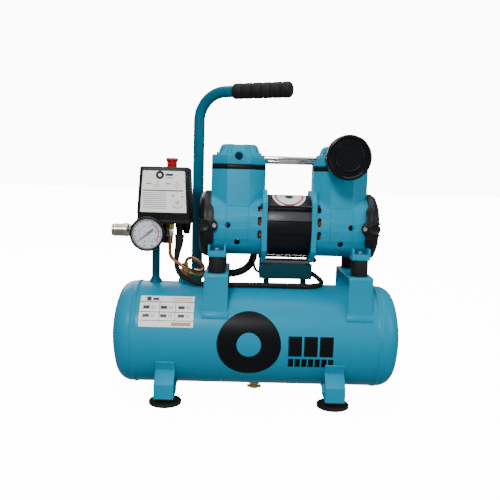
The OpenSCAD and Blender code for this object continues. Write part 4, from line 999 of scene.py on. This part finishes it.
def intake_filter():
    """Round intake filter: ribbed cup with a stepped cap."""
    low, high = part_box("filter_cap")
    axis = Vector(((low.x + high.x) / 2, 0, (low.z + high.z) / 2))
    cap = [(0, 76), (31, 76), (33.2, 76), (33.9, 76.6), (33.9, 77.8), (33.2, 78.6), (33.2, 80), (33.9, 81),
           (33.9, 91.4), (33.2, 93), (31.9, 93.9), (30.6, 94), (29, 92.8), (27.8, 91.2), (22.4, 91.6),
           (21.6, 92.6), (20.3, 92.6), (19.5, 91.8), (0, 91.6)]
    front = turned(mm(*cap), axis, "-Y", 128)
    smoothed(front, 35)
    shown_as(front, "filter_front", "filter_cap")
    cup = [(0, 25), (5.9, 25), (6, 39), (8.6, 39), (9, 39.4), (9, 51), (10, 52), (28, 52), (30, 52.6),
           (31.6, 54), (32, 56), (32, 70), (32, 79), (0, 79)]
    body = turned(mm(*cup), axis, "-Y", 96)
    ribs = []
    for i in range(16):
        rib = block((axis.x - 0.8 * MM, -76 * MM, axis.z + 30 * MM),
                    (axis.x + 0.8 * MM, -55 * MM, axis.z + 32.7 * MM))
        turn = Matrix.Translation(axis) @ Matrix.Rotation(TURN * i / 16, 4, "Y") @ Matrix.Translation(-axis)
        rib.data.transform(turn)
        ribs.append(rib)
    with_parts(body, *ribs)
    rounded(body, 0.3 * MM, 1, 50)
    shown_as(body, "filter_cup", "filter_housing", "filter_element")


def stator():
    """Laminated motor body with long grooves, a painted highlight band across its front, and a plain disc
    label.
    """
    low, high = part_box("motor_stator")
    r = (high.y - low.y) / 2
    axis = Vector((low.x, 0, (low.z + high.z) / 2))
    long = high.x - low.x
    body = rod(axis, "X", long, r, 128)
    cutters = [rod(axis - Vector((5 * MM, 0, 0)), "X", long + 10 * MM, 32.5 * MM, 64)]
    for angle in (58, 80, 105, 140, 205, 250, 292, 318):
        groove = block((low.x - 1 * MM, -0.9 * MM, r - 1.3 * MM), (high.x + 1 * MM, 0.9 * MM, r + 3 * MM))
        turn = Matrix.Translation(axis) @ Matrix.Rotation(math.radians(angle), 4, "X")
        groove.data.transform(turn)
        cutters.append(groove)
    cut(body, *cutters)
    rounded(body, 0.4 * MM, 2, 35)
    laminate = grained("stator_laminate", colour(0.006, 0.0065, 0.008), colour(0.004, 0.0045, 0.006), 0.34,
                       2 * MM, 0.02 * MM)
    _, y, z = laminate.axes()
    # Painted highlight: a lighter grey band across the front, just above the axis, stands in for the
    # reflection of a soft box.
    painted_highlight_band = (z - axis.z).between(10 * MM, 23.5 * MM) * y.below(0.0)
    black, highlight_grey = colour(0.005, 0.0055, 0.007), colour(0.05, 0.055, 0.062)
    laminate.feed("Base Color", laminate.mixed(painted_highlight_band, black, highlight_grey))
    shown_as(body, "stator_body", "motor_stator", finish=laminate)
    disc = turned(mm((0, 0), (27, 0), (27, 9), (0, 9)), (0, 0, 0), "Z", 72)
    tilt, sunk = math.radians(70), r - 8.55 * MM
    spot = axis + Vector((long / 2, -sunk * math.cos(tilt), sunk * math.sin(tilt)))
    disc.data.transform(Matrix.Translation(spot) @ Matrix.Rotation(TURN / 4 - tilt, 4, "X"))
    skin = rod(axis, "X", long, r + 0.25 * MM, 160)
    combined(disc, "INTERSECT", skin)
    smoothed(disc, 30)
    foil = grained("disc_print", colour(0.85, 0.85, 0.85), colour(0.8, 0.8, 0.8), 0.4, 1 * MM, 0.01 * MM)
    x, y, z = foil.axes()
    dx = (x - spot.x) / MM
    along = ((z - spot.z) * math.cos(tilt) + (y - spot.y) * math.sin(tilt)) / MM
    out = (dx * dx + along * along).root()
    ring = out.between(20.5, 23.5)
    inner = foil.mixed(out.below(7.0), colour(0.85, 0.85, 0.85), colour(0.03, 0.03, 0.035))
    foil.feed("Base Color", foil.mixed(ring, inner, colour(0.4, 0.04, 0.04)))
    shown_as(disc, "stator_disc", finish=foil, slot="label_white", body="frame")


def head_form(centre):
    """Cast head: eight-sided base, domed cap, port boss and bolt pockets."""
    x, base_z = centre.x, centre.z
    w, d, a, b = 43.5 * MM, 39 * MM, 17.5 * MM, 17 * MM
    outline = [(w, b), (a, d), (-a, d), (-w, b), (-w, -b), (-a, -d), (a, -d), (w, -b)]
    base = prism(outline, 15.2 * MM, centre)
    rounded(base, 1.1 * MM, 3, 30)
    top_z = base_z + 31.7 * MM
    dome = block((x - 34.5 * MM, -30 * MM, base_z + 12 * MM), (x + 34.5 * MM, 30 * MM, top_z))
    picked(dome, "FACE", lambda place, way: way.z > 0.9)
    bpy.ops.transform.resize(value=(27 / 34.5, 22.5 / 30, 1), center_override=(x, 0, top_z))
    picked(dome, "EDGE", lambda place, way: abs(way.z) > 0.7)
    bpy.ops.mesh.bevel(offset=11 * MM, segments=6)
    picked(dome, "EDGE", lambda place, way: place.z > top_z - 0.1 * MM)
    bpy.ops.mesh.bevel(offset=3.5 * MM, segments=4)
    done()
    combined(base, "UNION", dome)
    boss = rod((x, -20 * MM, base_z + 12.7 * MM), "-Y", 19.4 * MM, 9.5 * MM)
    rounded(boss, 0.8 * MM, 3)
    combined(base, "UNION", boss)
    port = rod((x, -14 * MM, base_z + 12.7 * MM), "-Y", 28 * MM, 6.2 * MM)
    pockets = [rod((x + sx * 32 * MM, sy * 19 * MM, base_z + 15.2 * MM), "Z", 20 * MM, 5.4 * MM, 32)
               for sx in (-1, 1) for sy in (-1, 1)]
    cut(base, port, *pockets)
    rounded(base, 0.45 * MM, 2, 38)
    return base


def dome_ribs(centre):
    """Rounded ribs that run up the dome's flanks at both sides and over its shoulder."""
    def rim(half_x, half_y, angle, z):
        c, n = math.cos(angle), math.sin(angle)
        reach = ((abs(c) / half_x) ** 5 + (abs(n) / half_y) ** 5) ** -0.2
        return centre + Vector((reach * c, reach * n, z)) * MM

    levels = ((34.6, 30.1, 13), (32.7, 28.2, 18), (30, 25.5, 25), (28.4, 24, 28.6), (26, 21.6, 30.8),
              (21, 17, 31.4), (18, 14.5, 31))
    ribs = []
    for angle in (-64, -55, -46, -35, -22, -8, 8, 22, 35, 46, 55, 64):
        for half_turn in (0, 180):
            a = math.radians(angle + half_turn)
            path = [rim(half_x, half_y, a, z) / MM for half_x, half_y, z in levels]
            ribs.append(line_along("rib", smooth_route(path, 3), 1.15 * MM))
    return ribs


def heads():
    """Both cylinder heads, each with the ribs on its dome."""
    for side in ("left", "right"):
        node = "cylinder_head_" + side
        low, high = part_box(node)
        centre = Vector(((low.x + high.x) / 2, 0, low.z))
        shown_as(head_form(centre), node + "_casting", node)
        joined_lines(dome_ribs(centre), node + "_ribs")


def casting_lines():
    """Raised lines where each tower meets its round case, and down the case from the tower's corners."""
    axis_z, r, skin = 283 * MM, 49.9 * MM, 49.8 * MM
    corners = mm((-43.2, 17.2), (-17.5, 39), (17.5, 39), (43.2, 17.2))
    lines = []
    for node, side, inwards in (("crankcase_left", 0, 1), ("crankcase_right", 1, -1)):
        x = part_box(node)[side].x + inwards * 44.8 * MM
        for front in (-1, 1):
            outline = [(x0 + (x1 - x0) * step / 8, y0 + (y1 - y0) * step / 8)
                       for (x0, y0), (x1, y1) in zip(corners, corners[1:]) for step in range(8)]
            meet = [Vector((x + off, front * y, axis_z + math.sqrt(r * r - y * y)))
                    for off, y in outline + corners[-1:]]
            lines.append(line_along("line", meet, 1.2 * MM))
            for off in (-17.5, 17.5):
                angles = [math.radians(a) for a in range(38, -31, -4)]
                down = [Vector((x + off * MM, front * skin * math.cos(a), axis_z + skin * math.sin(a)))
                        for a in angles]
                lines.append(line_along("line", down, 0.7 * MM))
    joined_lines(lines, "casting_lines")


def cover_rims():
    """Wavy inner rims of the fan covers, with a boss behind each screw tab and ribs at the outer edge."""
    low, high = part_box("fan_covers")
    pump_x = (low.x + high.x) / 2
    axis = Vector((pump_x, 0, (low.z + high.z) / 2))
    wave = [(127.5, -50), (125.6, -50), (125.4, -38), (124.6, -34), (121.4, -29.5), (120.2, -26),
            (119.8, -20), (119.8, 20), (120.2, 26), (121.4, 29.5), (124.6, 34), (125.4, 38), (125.6, 50),
            (127.5, 50)]
    band = turned(mm((50.15, 112), (54, 112), (54, 127.5), (50.15, 127.5)), axis, "X", 128)
    outline = prism(mm(*wave), 140 * MM)
    upright = Matrix.Translation(axis + Vector((0, 70 * MM, 0))) @ Matrix.Rotation(TURN / 4, 4, "X")
    outline.data.transform(upright)
    combined(band, "INTERSECT", outline)
    rounded(band, 0.9 * MM, 3, 40)
    boss = mm((0, 0), (9.6, 0), (9.6, 3.6), (8.6, 4.4), (7.4, 4.4), (6.6, 3.8), (0, 3.8))
    extras = []
    for side in (-1, 1):
        place = Vector((pump_x + 133 * MM, side * 51 * MM, axis.z))
        extras.append(turned(boss, place, "Y" if side > 0 else "-Y", 40))
    for height in (-9, 0, 9):
        for side in (-1, 1):
            a = axis + Vector((139 * MM, side * 53 * MM, height * MM))
            low_corner = a - Vector((3.5 * MM, 3 * MM, 1.1 * MM))
            extras.append(block(low_corner, a + Vector((3.5 * MM, 1.2 * MM, 1.1 * MM))))
    right = with_parts(band, *extras)
    smoothed(right, 40)
    left = mirrored(right, pump_x)
    with_parts(right, left)
    shown_as(right, "cover_rims", slot=slot_of["fan_covers"], body="frame")


# ---------------------------------------------------------------- the object

# CAD nodes that are shown as copies with rounded edges, and the width of that rounding in millimetres.
SOFTENED = {
    "saddles": 0.8, "foot_brackets": 0.7, "rubber_feet": 0.8, "foot_bolts": 0.3, "check_valve": 0.4,
    "drain_valve_body": 0.3, "drain_valve_knob": 0.4, "vibration_mounts": 0.8, "mount_screws": 0.3,
    "crankcase_left": 1.2, "crankcase_right": 1.2, "valve_plates": 0.4, "head_gaskets": 0.3,
    "head_bolts": 0.3, "transfer_tubes": 0.3, "fan_covers": 0.8, "fan_cover_screws": 0.25,
    "capacitor_box": 1.5, "manifold_block": 0.6, "regulator_knob": 0.5, "cable_glands": 0.4,
    "switch_base": 0.6, "coupler_body": 0.5, "safety_valve": 0.4, "safety_ring": 0.2, "contact_block": 0.4,
}

for name, node in nodes.items():
    node.data.materials.clear()
    node.data.materials.append(finishes[slot_of[name]].material)

camera()
cords()
studio()
pipe_fittings()
tank()
rating_label()
handle()
grip()
switch_cover()
switch_knob()
gauge()
coupler()
intake_filter()
stator()
heads()
casting_lines()
cover_rims()
# Painted shade: the riser takes the darker copy of the teal paint.
softened("riser_pipe", 0.4 * MM, finish=finishes["shaded_teal_paint"])
black_rods = softened("tie_rods", 0.3 * MM, finish=finishes["black_paint"])
for name, width in SOFTENED.items():
    softened(name, width * MM)
